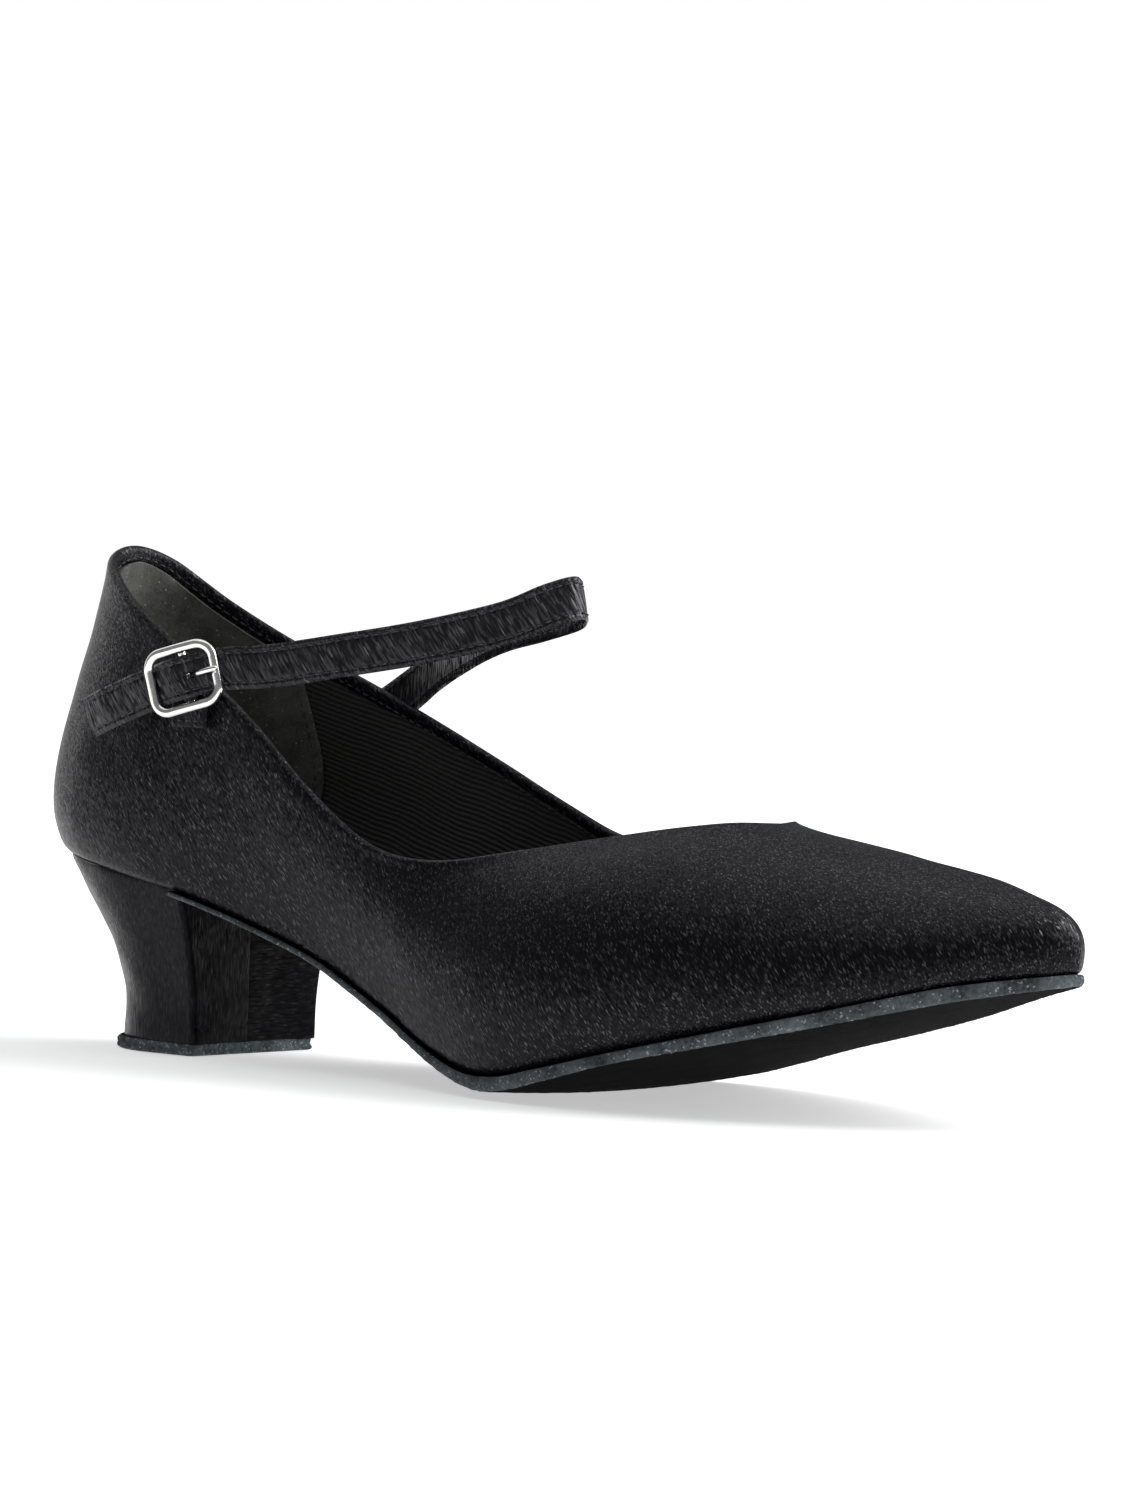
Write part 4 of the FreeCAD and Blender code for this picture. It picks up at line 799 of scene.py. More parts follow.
def make_topline_stitches():
    """The row that holds the folded edge to the lining."""
    thread = Surface()
    head, over, normal = edge_frame(np.linspace(-THROAT + 0.01, THROAT - 0.01, 700))
    line = head - over * (BAND_DROP - 0.85) - normal * (2 * EDGE_RADIUS + 0.02)
    stitch_row(thread, line, -normal)
    thread.finish("topline_stitches", "shoe", THREAD, "thread")


make_upper()
make_lining()
make_grip()
make_topline_stitches()

# ---------------------------------------------------------------- bottom of the shoe
SOLE_UNDERSIDE = [
    (10, 31.6), (17, 30.2), (35, 25.4), (53, 19.4), (62, 15.4), (71, 11.4), (80, 7.2),
    (89, 3.4), (98, 0.7), (104, 0), (110, 0.7), (119, 3), (131, 6.6), (151, 11.8),
    (169, 16.7), (189, 22.6), (207, 26.8)]
SOLE_CROWN, CROWN_REACH = 1.4, 38.0
SOLE_LIP = 0.5                   # the raw edge stands out of the feather line by this much
SOLE_TOP = -0.05                 # the top of the sole, from the feather line
BREAST_PLACE = 13.7              # the front of the heel block
COVER_OUT, COVER_IN = 0.7, 0.12  # the faces of the heel's satin cover, out of the block
SOLE_REAR = BREAST_PLACE + COVER_OUT + 0.4


def underside(x, y):
    return smooth(SOLE_UNDERSIDE, x)[..., 0] + SOLE_CROWN * (y / CROWN_REACH) ** 2


def side_points(side, shares, inset, rear):
    """Points in plan down one side, from the rear cut, or else the heel, to the toe."""
    fine = np.linspace(0.0, 1.0, 1800) if rear is None else np.linspace(0.2, 1.0, 1600)
    line = feather_plan(fine * side) - feather_outward(fine * side)[:, :2] * inset
    if rear is not None:
        first = np.argmax(line[:, 0] >= rear)
        cut = line[first - 1:first + 1]
        line = np.vstack([[rear, np.interp(rear, cut[:, 0], cut[:, 1])], line[first:]])
    walked = walk(line)
    return read_off(shares * walked[-1], walked, line)


def plate_rows(inset, rear, shares, across):
    """A grid in plan whose rows run from the lateral to the medial side."""
    lateral = side_points(-1, shares, inset, rear)
    medial = side_points(1, shares, inset, rear)
    return lateral[:, None] + (medial - lateral)[:, None] * across[None, :, None]


def crowded(count):
    """Shares from 0 to 1 that crowd together at both ends."""
    return (1 - np.cos(np.linspace(0, math.pi, count))) / 2


def make_outsole():
    """Suede outsole: dark brushed face, and a paler raw edge that stands out a little."""
    shares = 1 - (1 - np.linspace(0, 1, 260)) ** 1.25
    across = crowded(46)
    profile = [(0.0, 0.45), (0.10, 0.12), (0.28, -0.05), (0.5, -0.12), (0.72, -0.02),
               (0.9, 0.2), (1.0, 0.6)]
    top_plan = plate_rows(-SOLE_LIP + 0.45, SOLE_REAR, shares, across)
    low_plan = plate_rows(-SOLE_LIP + 0.6, SOLE_REAR, shares, across)
    top = np.dstack([top_plan, feather_height(top_plan[..., 0]) + SOLE_TOP])
    low = np.dstack([low_plan, underside(low_plan[..., 0], low_plan[..., 1])])
    low[..., 2] = np.maximum(low[..., 2] + ripple(low, 1.6, 0.035, 11), 0.0)
    face = Surface().grid(low)
    face.grid(top)
    face.finish("outsole_face", "shoe", SOLE, "sole_suede", ("outsole",))
    edge = Surface()
    for side, end in ((-1, 0), (1, -1)):
        rows = []
        for share, inset in profile:
            plan = side_points(side, shares, -SOLE_LIP + inset, SOLE_REAR)
            high = feather_height(plan[:, 0]) + SOLE_TOP
            bottom = underside(plan[:, 0], plan[:, 1])
            rows.append(np.column_stack([plan, high + (bottom - high) * share]))
        rows = np.stack(rows, axis=1)
        rows[:, 0], rows[:, -1] = top[:, end], low[:, end]
        fuzz = ripple(rows, 0.9, 0.07, 21) + ripple(rows, 3.5, 0.05, 22)
        middle = rows[:, len(profile) // 2, :2]
        outward = unit(middle - middle.mean(axis=0))
        rows[:, 1:-1, :2] += outward[:, None] * fuzz[:, 1:-1, None]
        edge.grid(rows)
    edge.finish("outsole_edge", "shoe", SOLE_EDGE, "sole_suede")


make_outsole()

SOCK_BOTTOM, SOCK_TOP = 4.85, 5.7
SOCK_INSET = 3.1
SOCK_DIP = 0.28


def make_sock():
    """Sock lining: a thin foam-backed pad that dips under the foot and lifts at its edges."""
    shares, across = crowded(200), crowded(40)
    plan = plate_rows(SOCK_INSET + 0.35, None, shares, across)
    edge_plan = plate_rows(SOCK_INSET, None, shares, across)
    place = feather_height(plan[..., 0])
    top = np.dstack([plan, place + SOCK_TOP - SOCK_DIP * np.sin(math.pi * across)])
    top[..., 2] += ripple(top, 22.0, 0.07, 31)
    bottom = np.dstack([plan, place + SOCK_BOTTOM])
    middle = feather_height(edge_plan[..., 0]) + (SOCK_BOTTOM + SOCK_TOP) / 2
    edge = np.dstack([edge_plan, middle])
    loops = np.concatenate([top, edge[:, -1:], bottom[:, ::-1], edge[:, :1]], axis=1)
    sock = Surface().grid(loops, around=True).finish(
        "sock_lining_pad", "shoe", SOCK, "sock_material", ("sock_lining",))


make_sock()

# ---------------------------------------------------------------- heel
HEEL_RADIUS = 17.0
# Levels of the heel block: (z, radius as a share of HEEL_RADIUS, middle of the round back).
HEEL_LEVELS = [(2.45, 1.0, 3.9), (12.7, 1.035, 4.3), (18.1, 1.094, 3.6), (24.4, 1.176, 1.9),
               (31.1, 1.294, -0.6), (41.0, 1.45, -4.2)]
BREAST_OUT = 0.42
COVER_SEAM_Y = -2.4              # the cover ends here on the breast, and the breast piece goes on
SEAT_GAP = 0.05
HEM_HEIGHT = 5.6
BACK_COLUMN = 90                 # a column of the heel's wall on its round back


def d_outline(radius, middle, breast, corner, start_y, end_y=None):
    """A heel's outline in plan, from start_y on the breast round the back to the medial corner,
    and on along the breast to end_y."""
    def arc(cx, cy, r, a0, a1, count):
        turns = np.radians(np.linspace(a0, a1, count))
        return np.column_stack([cx + r * np.cos(turns), cy + r * np.sin(turns)])

    side = radius - corner
    front = breast - corner
    lateral = np.column_stack([np.full(26, breast), np.linspace(start_y, -side, 26)])[:-1]
    flank = np.column_stack([np.linspace(front, middle, 14), np.full(14, -radius)])[1:-1]
    back = arc(middle, 0, radius, 270, 90, 80)
    far_flank = np.column_stack([np.linspace(middle, front, 14), np.full(14, radius)])[1:-1]
    outline = [lateral, arc(front, -side, corner, 360, 270, 9), flank, back, far_flank,
               arc(front, side, corner, 90, 0, 9)]
    if end_y is not None:
        outline.append(np.column_stack([np.full(20, breast), np.linspace(side, end_y, 20)])[1:])
    return np.vstack(outline)


def at_height(plan, z):
    return np.column_stack([plan, np.full(len(plan), z)])


def heel_point_rows(grow, corner, shares):
    """Rows of the heel's wall from the tip up to the seat line."""
    levels = np.linspace(HEEL_LEVELS[0][0], HEEL_LEVELS[-1][0], 90)
    stack = []
    for z in levels:
        share, middle = smooth(HEEL_LEVELS, [z])[0]
        outline = d_outline(HEEL_RADIUS * share + grow, middle, BREAST_PLACE + grow, corner,
                            COVER_SEAM_Y)
        stack.append(at_height(outline, z))
    columns = []
    for column in np.stack(stack, axis=1):
        over = column[:, 2] - (feather_height(column[:, 0]) - SEAT_GAP)
        top = np.interp(0.0, over, column[:, 2])
        columns.append(read_off(levels[0] + (top - levels[0]) * shares, levels, column))
    return np.stack(columns, axis=1)


def make_heel():
    """Satin heel cover, and the separate piece that covers the rest of the breast."""
    shares = np.linspace(0, 1, 56)
    outer = heel_point_rows(COVER_OUT, 1.3, shares)
    inner = heel_point_rows(COVER_IN, 1.0, shares)
    normal = unit(np.cross(np.gradient(outer, axis=1), np.gradient(outer, axis=0)))
    normal *= -np.sign(normal[:, BACK_COLUMN, 0].mean())
    hem = np.exp(-((outer[..., 2] - HEM_HEIGHT) / 0.35) ** 2) * (outer[..., 0] > 14.0)
    seat_roll = np.clip((shares - 0.965) / 0.035, 0, 1)[:, None] ** 2
    push = ripple(outer, 9.0, 0.06, 41) - 0.22 * hem - 0.35 * seat_roll
    outer = outer + normal * push[..., None]
    cover = Surface()
    capped_patch(cover, outer.transpose(1, 0, 2), inner.transpose(1, 0, 2), bulge=0.35)
    cover.finish("heel_cover_satin", "shoe", HEEL_SATIN, "black_satin", ("heel_cover",),
                 crease=70)
    low_y, low_z = COVER_SEAM_Y - 1.2, HEEL_LEVELS[0][0]
    z = low_z + (feather_height(np.array(BREAST_PLACE)) - 0.1 - low_z) * np.linspace(0, 1, 40)
    side_y = HEEL_RADIUS * smooth(HEEL_LEVELS, z)[:, 0] + 0.25
    faces = []
    for grow, wrap_depth in ((BREAST_OUT, 0.5), (COVER_IN, 0.0)):
        columns = []
        for share in np.linspace(0, 1, 30):
            wrap = wrap_depth * np.clip((share - 0.6) / 0.3, 0, 1)
            columns.append(np.column_stack([np.full(len(z), BREAST_PLACE + grow + wrap),
                                            low_y + (side_y - low_y) * share, z]))
        faces.append(np.stack(columns))
    faces[0][..., 0] += ripple(faces[0], 7.0, 0.05, 43)
    breast = Surface()
    capped_patch(breast, faces[0], faces[1], bulge=0.3)
    breast.finish("heel_breast_satin", "shoe", BREAST_SATIN_IN_PAINTED_SHADE, "black_satin",
                  ("heel_breast_cover",), crease=70)


make_heel()

LIFT_RADIUS, LIFT_MIDDLE, LIFT_THICKNESS = 18.0, 2.6, 2.4


def make_heel_tip():
    """Heel tip: a thin lift with a brushed suede edge and tread."""
    def loop(inset, z):
        outline = d_outline(LIFT_RADIUS - inset, LIFT_MIDDLE, BREAST_PLACE + 0.5 - inset,
                            max(1.6 - inset, 0.2), 0.0, 0.1)
        return at_height(resample(np.vstack([outline, outline[:1]]), 361)[:-1], z)

    profile = [(0.5, LIFT_THICKNESS), (0.16, LIFT_THICKNESS - 0.12), (0.0, 1.95), (0.12, 1.5),
               (0.06, 1.0), (-0.06, 0.55), (0.04, 0.18), (0.3, 0.0)]
    rows = np.stack([loop(inset, z) for inset, z in profile])
    centre = np.array([LIFT_MIDDLE, 0.0])
    outward = unit(rows[:, :, :2] - centre)
    fuzz = ripple(rows, 0.9, 0.09, 51) + ripple(rows, 4.0, 0.07, 52)
    fuzz[0], fuzz[-1] = 0.0, 0.0
    rows[..., :2] += outward * fuzz[..., None]
    edge = Surface().grid(rows, around=True)
    edge.finish("heel_tip_edge", "shoe", SOLE_EDGE, "sole_suede")
    faces = Surface()
    for row, z in ((rows[0], LIFT_THICKNESS), (rows[-1], 0.0)):
        rings = np.stack([at_height(row[:, :2] + (centre - row[:, :2]) * share, z)
                          for share in np.linspace(0, 1, 24)])
        if z == 0.0:
            rings[1:, :, 2] += np.abs(ripple(rings[1:], 1.8, 0.03, 53))
        faces.grid(rings, around=True)
    faces.finish("heel_tip_tread", "shoe", SOLE, "sole_suede", ("heel_tip",))


make_heel_tip()

# ---------------------------------------------------------------- strap and buckle
# The buckle's own frame: u along the strap towards the toe, w across the strap, n outwards.
BUCKLE_CENTRE = np.array([22.3, -32.9, 73.4])
STRAP_U = unit(np.array([15, 4.1, 4.6]))
STRAP_W = np.array([-0.1, 0, 1.0])
STRAP_W = unit(STRAP_W - STRAP_U * (STRAP_U @ STRAP_W))
STRAP_N = np.cross(STRAP_U, STRAP_W)
BUCKLE_LENGTH, BUCKLE_HEIGHT, BUCKLE_WIRE, BUCKLE_CORNER = 15.6, 13.2, 1.7, 4.0
BAR_RADIUS, BAR_DEPTH, BAR_BEND = 0.75, 2.0, 0.9
PRONG_EYE = 1.22                 # radius of the loop that the prong has round the bar
# The prong's middle line: (number, u, n).
PRONG_KNOTS = [(0, 0.95, -1.15), (1, 2.4, -0.25), (2, 4.0, 0.95), (3, 5.4, 1.52),
               (4, 6.7, 1.62), (5, 7.9, 1.42)]
RIM_PLACE = (BUCKLE_LENGTH - BUCKLE_WIRE) / 2
RAIL_PLACE = (BUCKLE_HEIGHT - BUCKLE_WIRE) / 2
STRAP_UNDER_RIM, STRAP_OVER_BAR = -2.1, 0.6
STRAP_HALF_WIDTH, STRAP_HALF, STRAP_JOIN = 4.0, 0.75, -0.15


def buckle_point(u, w, n):
    return (BUCKLE_CENTRE + np.multiply.outer(u, STRAP_U) + np.multiply.outer(w, STRAP_W)
            + np.multiply.outer(n, STRAP_N))


STRAP_PATH = np.vstack([
    (-2.6, -31.65, 64.8), (4, -32.9, 67.2),
    buckle_point(-RIM_PLACE - 0.4, 0, STRAP_UNDER_RIM), buckle_point(0, 0, STRAP_OVER_BAR),
    buckle_point(RIM_PLACE + 0.4, 0, STRAP_UNDER_RIM),
    (38, -25.3, 76.4), (52, -21.2, 78.9), (66, -14.8, 81.9), (80, -7.6, 86),
    (87.5, -2.8, 89.8), (90.3, 1.9, 91.3), (86.5, 6.2, 89.4), (75, 9.6, 86.8), (63, 14, 84.7),
    (51.5, 19, 81.8), (35.5, 27.3, 76.8), (26.5, 30.2, 72.2), (18, 30.2, 66.8),
    (13.5, 30.2, 62.8)])
STRAP_UP = np.array([-0.25, 0, 1.0])
STRAP_KNOTS = [(i, *point) for i, point in enumerate(STRAP_PATH)]
STITCH_PLACE = STRAP_HALF_WIDTH - 1.15
HOLE_REAR, HOLE_FRONT, HOLE_HALF = 1.0, 5.0, 0.72
EDGE_EASE = 0.38                 # share of a layer's thickness that its rounded edge gives up
ANCHOR_BEND = ((13.5 * MM, 30.2 * MM, 62.8 * MM), (23.5 * MM, 20.2 * MM, 70.8 * MM))


def strap_frame(at):
    """Points, width directions and outward directions of the strap."""
    step = 0.02
    here = smooth(STRAP_KNOTS, at)
    along = unit(smooth(STRAP_KNOTS, at + step) - smooth(STRAP_KNOTS, at - step))
    across = unit(STRAP_UP - along * (along @ STRAP_UP)[:, None])
    return here, across, np.cross(along, across)


def strap_stations():
    """Path parameters, evenly spaced along the strap's real length."""
    fine = np.linspace(0, len(STRAP_PATH) - 1, 3000)
    walked = walk(smooth(STRAP_KNOTS, fine))
    return np.interp(np.linspace(0, walked[-1], 420), walked, fine)


def strap_sheet(at, w, offset):
    """Points of the strap at widths w and offsets along its outward direction."""
    here, across, outward = strap_frame(at)
    slant = np.clip(1 - at / 1.2, 0, 1)[:, None] * 1.1 * (w / STRAP_HALF_WIDTH)
    along = unit(np.gradient(here, axis=0))
    return (here[:, None] + across[:, None] * w[:, None] + outward[:, None] * offset[:, None]
            - along[:, None] * slant[..., None])


def in_hole(points):
    """True where the middle of a cell lies inside the slit that the prong uses."""
    offset = points - BUCKLE_CENTRE
    u, w, n = offset @ STRAP_U, offset @ STRAP_W, offset @ STRAP_N
    return ((u > HOLE_REAR) & (u < HOLE_FRONT) & (np.abs(w) < HOLE_HALF) & (n > -4) & (n < 3))


def strap_layer(name, node, half_width, low, high, relief):
    """One layer of the strap: rounded edges, a slit for the prong and sewn channels."""
    at = strap_stations()
    inner_w = [-3.6, -3.25, -2.85, -2.45, -2.0, -1.4, -HOLE_HALF, 0.0, HOLE_HALF, 1.4, 2.0, 2.45,
               2.85, 3.25, 3.6]
    w = np.array([-1.0] + [value / STRAP_HALF_WIDTH for value in inner_w] + [1.0]) * half_width
    edge = np.abs(w) > half_width - 0.05
    groove = np.exp(-((np.abs(w) - STITCH_PLACE) / 0.32) ** 2)
    pillow = 0.10 * np.cos(np.clip(w / STITCH_PLACE, -1, 1) * math.pi / 2)
    height = high - relief * groove + relief * pillow - (high - low) * EDGE_EASE * edge
    faces = [strap_sheet(at, w, height),
             strap_sheet(at, w, low + (high - low) * EDGE_EASE * edge)]
    across, outward = strap_frame(at)[1:]
    faces[0] = faces[0] + ripple(faces[0], 5.0, 0.05, 61)[..., None] * outward[:, None]
    hole = in_hole((faces[0][:-1, :-1] + faces[0][1:, 1:]) / 2)
    uv = np.stack([lengths_along(faces[0], 0), np.broadcast_to(w, faces[0].shape[:2])], axis=-1)
    surface = Surface()
    for face in faces:
        surface.grid(face, uv, keep=~hole)
    for side, reach in ((0, -0.16), (-1, 0.16)):
        bulge = (faces[0][:, side] + faces[1][:, side]) / 2 + across * reach
        rim = np.stack([faces[0][:, side], bulge, faces[1][:, side]], axis=1)
        surface.grid(rim, np.repeat(uv[:, [side]], 3, axis=1))
    for end in (0, -1):
        surface.grid(np.stack([faces[0][end], faces[1][end]]))
    rows, columns = np.nonzero(hole)
    low_i, high_i, low_j, high_j = rows.min(), rows.max() + 1, columns.min(), columns.max() + 1
    ring = ([(i, low_j) for i in range(low_i, high_i)]
            + [(high_i, j) for j in range(low_j, high_j)]
            + [(i, high_j) for i in range(high_i, low_i, -1)]
            + [(low_i, j) for j in range(high_j, low_j, -1)])
    walls = np.stack([[face[i, j] for i, j in ring] for face in faces])
    surface.grid(walls, around=True)
    surface.finish(name, None, STRAP_SATIN, "black_satin", (node,), crease=55, bend=ANCHOR_BEND)


def make_strap():
    """Satin face, backing and stitches of the instep strap, and its anchor's sewn box."""
    strap_layer("instep_strap_satin", "strap_satin", STRAP_HALF_WIDTH, STRAP_JOIN, STRAP_HALF,
                0.22)
    strap_layer("instep_strap_backing", "strap_backing", STRAP_HALF_WIDTH - 0.25, -STRAP_HALF,
                STRAP_JOIN - 0.02, 0.05)
    at = strap_stations()
    here, across, outward = strap_frame(at)
    thread = Surface()
    for w in (-STITCH_PLACE, STITCH_PLACE):
        for offset, facing in ((STRAP_HALF - 0.13, 1), (-STRAP_HALF + 0.02, -1)):
            line = here + across * w + outward * offset
            stitch_row(thread, line[4:-4], facing * outward[4:-4], pitch=1.9, length=1.4)
    thread.finish("strap_edge_stitches", None, THREAD, "thread", bend=ANCHOR_BEND)
    anchor = Surface()
    ends = np.linspace(16.9, 17.85, 30)
    here, across, outward = strap_frame(ends)
    for w in (-1.5, 1.5):
        stitch_row(anchor, here + across * w + outward * (STRAP_HALF - 0.02), outward,
                   pitch=1.7, length=1.3, radius=0.22)
    for end in (2, -3):
        w = np.linspace(-1.5, 1.5, 12)[:, None]
        line = here[end] + across[end] * w + outward[end] * (STRAP_HALF - 0.02)
        stitch_row(anchor, line, outward[end], pitch=1.5, length=1.2, radius=0.22)
    anchor.finish("strap_anchor_thread", None, THREAD, "thread", ("strap_anchor_stitches",),
                  bend=ANCHOR_BEND)


make_strap()


def rounded_rectangle(half_u, half_w, corner, count):
    """Points round a rectangle with round corners, evenly spaced."""
    corners = [(1, 1, 0), (-1, 1, 90), (-1, -1, 180), (1, -1, 270)]
    points = []
    for su, sw, start in corners:
        turns = np.radians(np.linspace(start, start + 90, 24))
        points.append(np.column_stack([su * (half_u - corner) + corner * np.cos(turns),
                                       sw * (half_w - corner) + corner * np.sin(turns)]))
    ring = np.vstack(points + [points[0][:1]])
    return resample(ring, count + 1)[:-1]


def make_buckle():
    """Nickel buckle: a bowed frame with a centre bar, and the prong that turns on it."""
    ring = rounded_rectangle(RIM_PLACE, RAIL_PLACE, BUCKLE_CORNER - BUCKLE_WIRE / 2, 132)
    bow = 0.35 - 0.75 * (ring[:, 0] / RIM_PLACE) ** 2
    path = buckle_point(ring[:, 0], ring[:, 1], bow)
    surface = Surface()
    tube(surface, path, STRAP_N, (0.72, 0.92), closed=True, sections=20)
    turns = np.linspace(0, math.pi / 2, 7)
    w_turn = RAIL_PLACE - BAR_BEND + BAR_BEND * np.cos(turns)
    n_turn = -BAR_DEPTH + BAR_BEND - BAR_BEND * np.sin(turns)
    w = np.concatenate([[RAIL_PLACE, RAIL_PLACE], w_turn, -w_turn[::-1],
                        [-RAIL_PLACE, -RAIL_PLACE]])
    n = np.concatenate([[0.2, -0.5], n_turn, n_turn[::-1], [-0.5, 0.2]])
    bar, taper = rounded_ends(buckle_point(np.zeros(len(w)), w, n), 0.5)
    tube(surface, bar, STRAP_U, (BAR_RADIUS, BAR_RADIUS), taper=taper)
    surface.finish("buckle_frame_nickel", "strap_loop", NICKEL, "nickel", ("buckle_frame",))
    prong = Surface()
    turns = np.linspace(0, 2 * math.pi, 30, endpoint=False)
    eye = buckle_point(PRONG_EYE * np.cos(turns), np.zeros(len(turns)),
                       -BAR_DEPTH + PRONG_EYE * np.sin(turns))
    tube(prong, eye, STRAP_W, (0.75, 0.36), closed=True)
    line = smooth(PRONG_KNOTS, np.linspace(0, 5, 40))
    pin, taper = rounded_ends(buckle_point(line[:, 0], np.zeros(40), line[:, 1]), 0.45)
    taper = taper * np.linspace(1.05, 0.82, len(taper))
    tube(prong, pin, STRAP_W, (0.60, 0.50), taper=taper, sections=16)
    prong.finish("buckle_prong_nickel", "prong", NICKEL, "nickel", ("buckle_prong",))


make_buckle()

TAB_REAR, TAB_LENGTH, TAB_BOTTOM, TAB_HEIGHT = 17.1, 8.0, 64.4, 10.2
TAB_FACE, TAB_THICKNESS = -28.6, 1.05
TAB_THREAD_TOP, TAB_THREAD_INSET = 67.8, 0.9
TAB_BEND = ((21 * MM, -29 * MM, 65.9 * MM), (21 * MM, -29 * MM, 71.9 * MM))


def make_tab():
    """Folded satin tab sewn to the lateral quarter; its two loops hold the buckle's bar."""
    surface = Surface()
    shares = np.linspace(0, 1, 22)
    x, z = np.meshgrid(TAB_REAR + TAB_LENGTH * shares, TAB_BOTTOM + TAB_HEIGHT * shares,
                       indexing="ij")
    swell = np.outer(np.sin(math.pi * shares), np.sin(math.pi * shares))
    outer = np.dstack([x, TAB_FACE - TAB_THICKNESS - 0.12 * swell, z])
    inner = np.dstack([x, np.full(x.shape, TAB_FACE), z])
    capped_patch(surface, outer, inner)
    for side in (1, -1):
        w = np.linspace(1.3, 4.0, 8) * side
        path, taper = rounded_ends(buckle_point(np.zeros(8), w, np.full(8, -BAR_DEPTH)), 0.5)
        tube(surface, path, STRAP_U, (1.42, 1.42), taper=taper, sections=24)
    surface.finish("buckle_tab_satin", None, UPPER_SATIN, "black_satin", ("buckle_tab",),
                   bend=TAB_BEND)
    thread = Surface()
    face = TAB_FACE - TAB_THICKNESS - 0.02
    rear, front = TAB_REAR + TAB_THREAD_INSET, TAB_REAR + TAB_LENGTH - TAB_THREAD_INSET
    foot = TAB_BOTTOM + TAB_THREAD_INSET
    corners = [(rear, face, TAB_THREAD_TOP), (rear, face, foot), (front, face, foot),
               (front, face, TAB_THREAD_TOP)]
    for start, end in zip(corners, corners[1:]):
        stitch_row(thread, resample([start, end], 20), (0, -1.0, 0), pitch=1.6, length=1.2,
                   radius=0.2)
    thread.finish("buckle_tab_thread", None, THREAD, "thread", ("buckle_tab_stitches",),
                  bend=TAB_BEND)


make_tab()

# ---------------------------------------------------------------- floor, light and camera
FLOOR_CENTRE, FLOOR_DROP = 0.08, -0.0001
FLOOR_RINGS = [0.0, 0.02, 0.2, 0.6, 2.0, 9.0]
FLOOR_SIDES = 96
# Lights: (name, place, target, size, watts), in metres.
LIGHTS = [
    ("key", (-0.1, 0.1, 1.3), (0.08, 0, 0.04), (1.7, 1.5), 6),
    ("front", (0.85, 0.80, 0.80), (0.15, 0, 0.04), (1.1, 1.1), 22),
    ("rear", (-1.1, 0.35, 0.55), (0.0, 0, 0.06), (1.0, 1.0), 3)]
BACKDROP_STRENGTH = 0.18         # how strongly the white backdrop lights the shoe


def make_floor():
    """A wide pale disc that brightens away from the shoe, as a lit backdrop does. The brightening
    is painted light: a glow that the floor emits, weaker near the shoe but still thinning its
    shadow there.
    """
    turns = np.linspace(0, 2 * math.pi, FLOOR_SIDES, endpoint=False)
    rings = np.stack([np.column_stack([r * np.cos(turns) + FLOOR_CENTRE, r * np.sin(turns),
                                       np.full(FLOOR_SIDES, FLOOR_DROP)]) for r in FLOOR_RINGS])
    surface = Surface().grid(rings, around=True)
    make = Finish("floor_finish", 0.9, Specular_IOR_Level=0.1)
    paper = make.noise(make.coordinates(), 0.02, 2.0)
    make.drive("Base Color", make.mix(paper, grey(0.86), grey(0.90)))
    far = make.node("VectorMath", {"operation": "LENGTH"},
                    _0=make.node("TexCoord").outputs["Object"]).outputs[1]
    # painted light: the floor glows, at 0.50 near the shoe and 0.95 far off
    painted_glow = make.node("MapRange", None, Value=far, _1=0.25, _2=1.0, _3=0.50, _4=0.95).outputs[0]
    make.shader.inputs["Emission Color"].default_value = grey(1.0)
    make.drive("Emission Strength", painted_glow)
    data = bpy.data.meshes.new("floor")
    data.from_pydata(surface.points[0].tolist(), [], surface.faces)
    data.materials.append(make.material)
    floor = bpy.data.objects.new("floor", data)
    bpy.context.scene.collection.objects.link(floor)


def make_area(name, place, target, size, power):
    """A soft rectangular light that faces a target."""
    data = bpy.data.lights.new(name, "AREA")
    data.shape = "RECTANGLE"
    data.size, data.size_y = size
    data.energy = power
    light = bpy.data.objects.new(name, data)
    light.location = place
    light.rotation_mode = "QUATERNION"
    light.rotation_quaternion = (Vector(target) - Vector(place)).to_track_quat("-Z", "Y")
    bpy.context.scene.collection.objects.link(light)


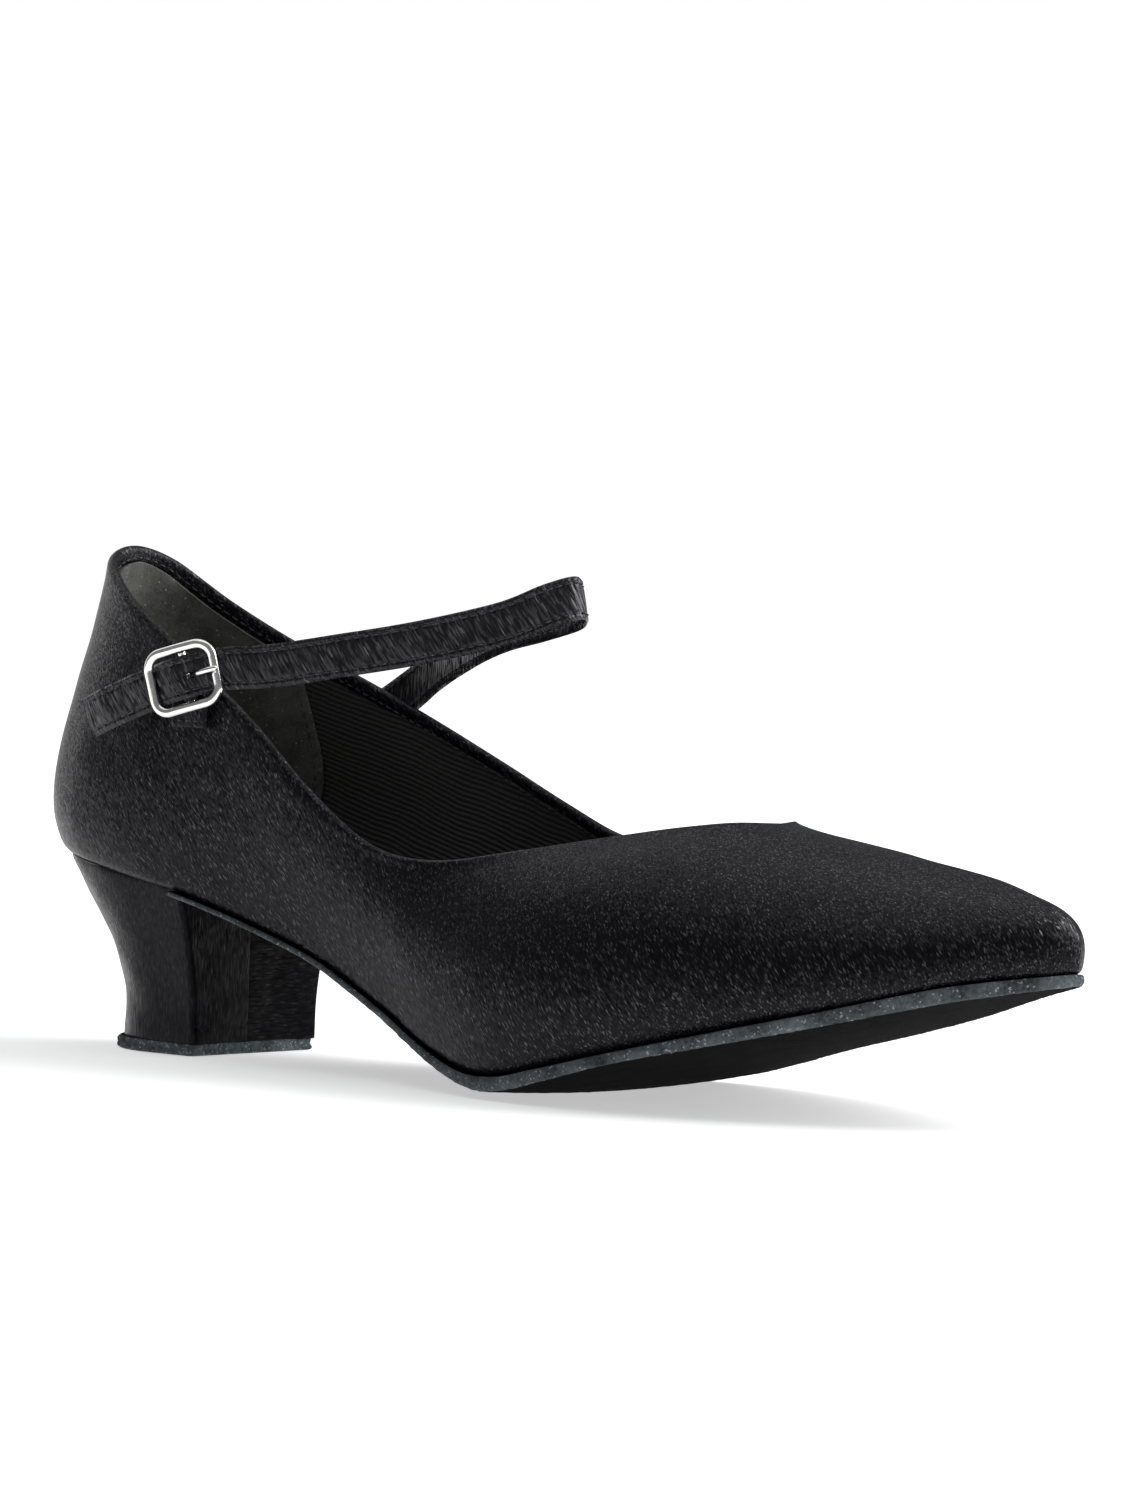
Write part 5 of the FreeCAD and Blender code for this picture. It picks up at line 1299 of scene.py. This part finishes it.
def make_world():
    """A white backdrop that lights the shoe only gently."""
    world = bpy.data.worlds.new("studio")
    bpy.context.scene.world = world
    world.use_nodes = True
    nodes, links = world.node_tree.nodes, world.node_tree.links
    nodes.clear()
    output = nodes.new("ShaderNodeOutputWorld")
    seen, felt = nodes.new("ShaderNodeBackground"), nodes.new("ShaderNodeBackground")
    seen.inputs["Color"].default_value = (1, 1, 1, 1)
    felt.inputs["Color"].default_value = (0.95, 0.98, 1, 1)
    felt.inputs["Strength"].default_value = BACKDROP_STRENGTH
    path, mix = nodes.new("ShaderNodeLightPath"), nodes.new("ShaderNodeMixShader")
    links.new(path.outputs["Is Camera Ray"], mix.inputs[0])
    links.new(felt.outputs[0], mix.inputs[1])
    links.new(seen.outputs[0], mix.inputs[2])
    links.new(mix.outputs[0], output.inputs[0])


# The camera stands 1.2 m off, ahead of the shoe on its lateral side, a little above the floor.
CAMERA_PLACE = np.array([800.717, -880.376, 95.642])
CAMERA_TARGET = np.array([47.44, 52.49, 47.30])
CAMERA_ROLL = math.radians(1.99)
CAMERA_PITCH = math.radians(0.6455)
CAMERA_LENS = 144.86             # for a 36 mm sensor along the picture's long side


def make_camera():
    """The camera: aimed at its target, rolled about its aim, then pitched up a little."""
    aim = unit(CAMERA_TARGET - CAMERA_PLACE)
    level = unit(np.cross(aim, UP))
    upright = np.cross(level, aim)
    right = level * math.cos(CAMERA_ROLL) + upright * math.sin(CAMERA_ROLL)
    top = upright * math.cos(CAMERA_ROLL) - level * math.sin(CAMERA_ROLL)
    aim, top = (aim * math.cos(CAMERA_PITCH) + top * math.sin(CAMERA_PITCH),
                top * math.cos(CAMERA_PITCH) - aim * math.sin(CAMERA_PITCH))
    data = bpy.data.cameras.new("camera")
    data.lens, data.sensor_width = CAMERA_LENS, 36.0
    data.clip_start, data.clip_end = 0.05, 100.0
    camera = bpy.data.objects.new("camera", data)
    matrix = np.eye(4)
    matrix[:3, 0], matrix[:3, 1], matrix[:3, 2] = right, top, -aim
    matrix[:3, 3] = CAMERA_PLACE * MM
    camera.matrix_world = Matrix(matrix.tolist())
    bpy.context.scene.collection.objects.link(camera)
    bpy.context.scene.camera = camera


make_floor()
make_world()
for light in LIGHTS:
    make_area(*light)
make_camera()
bpy.context.scene.view_settings.view_transform = "Standard"
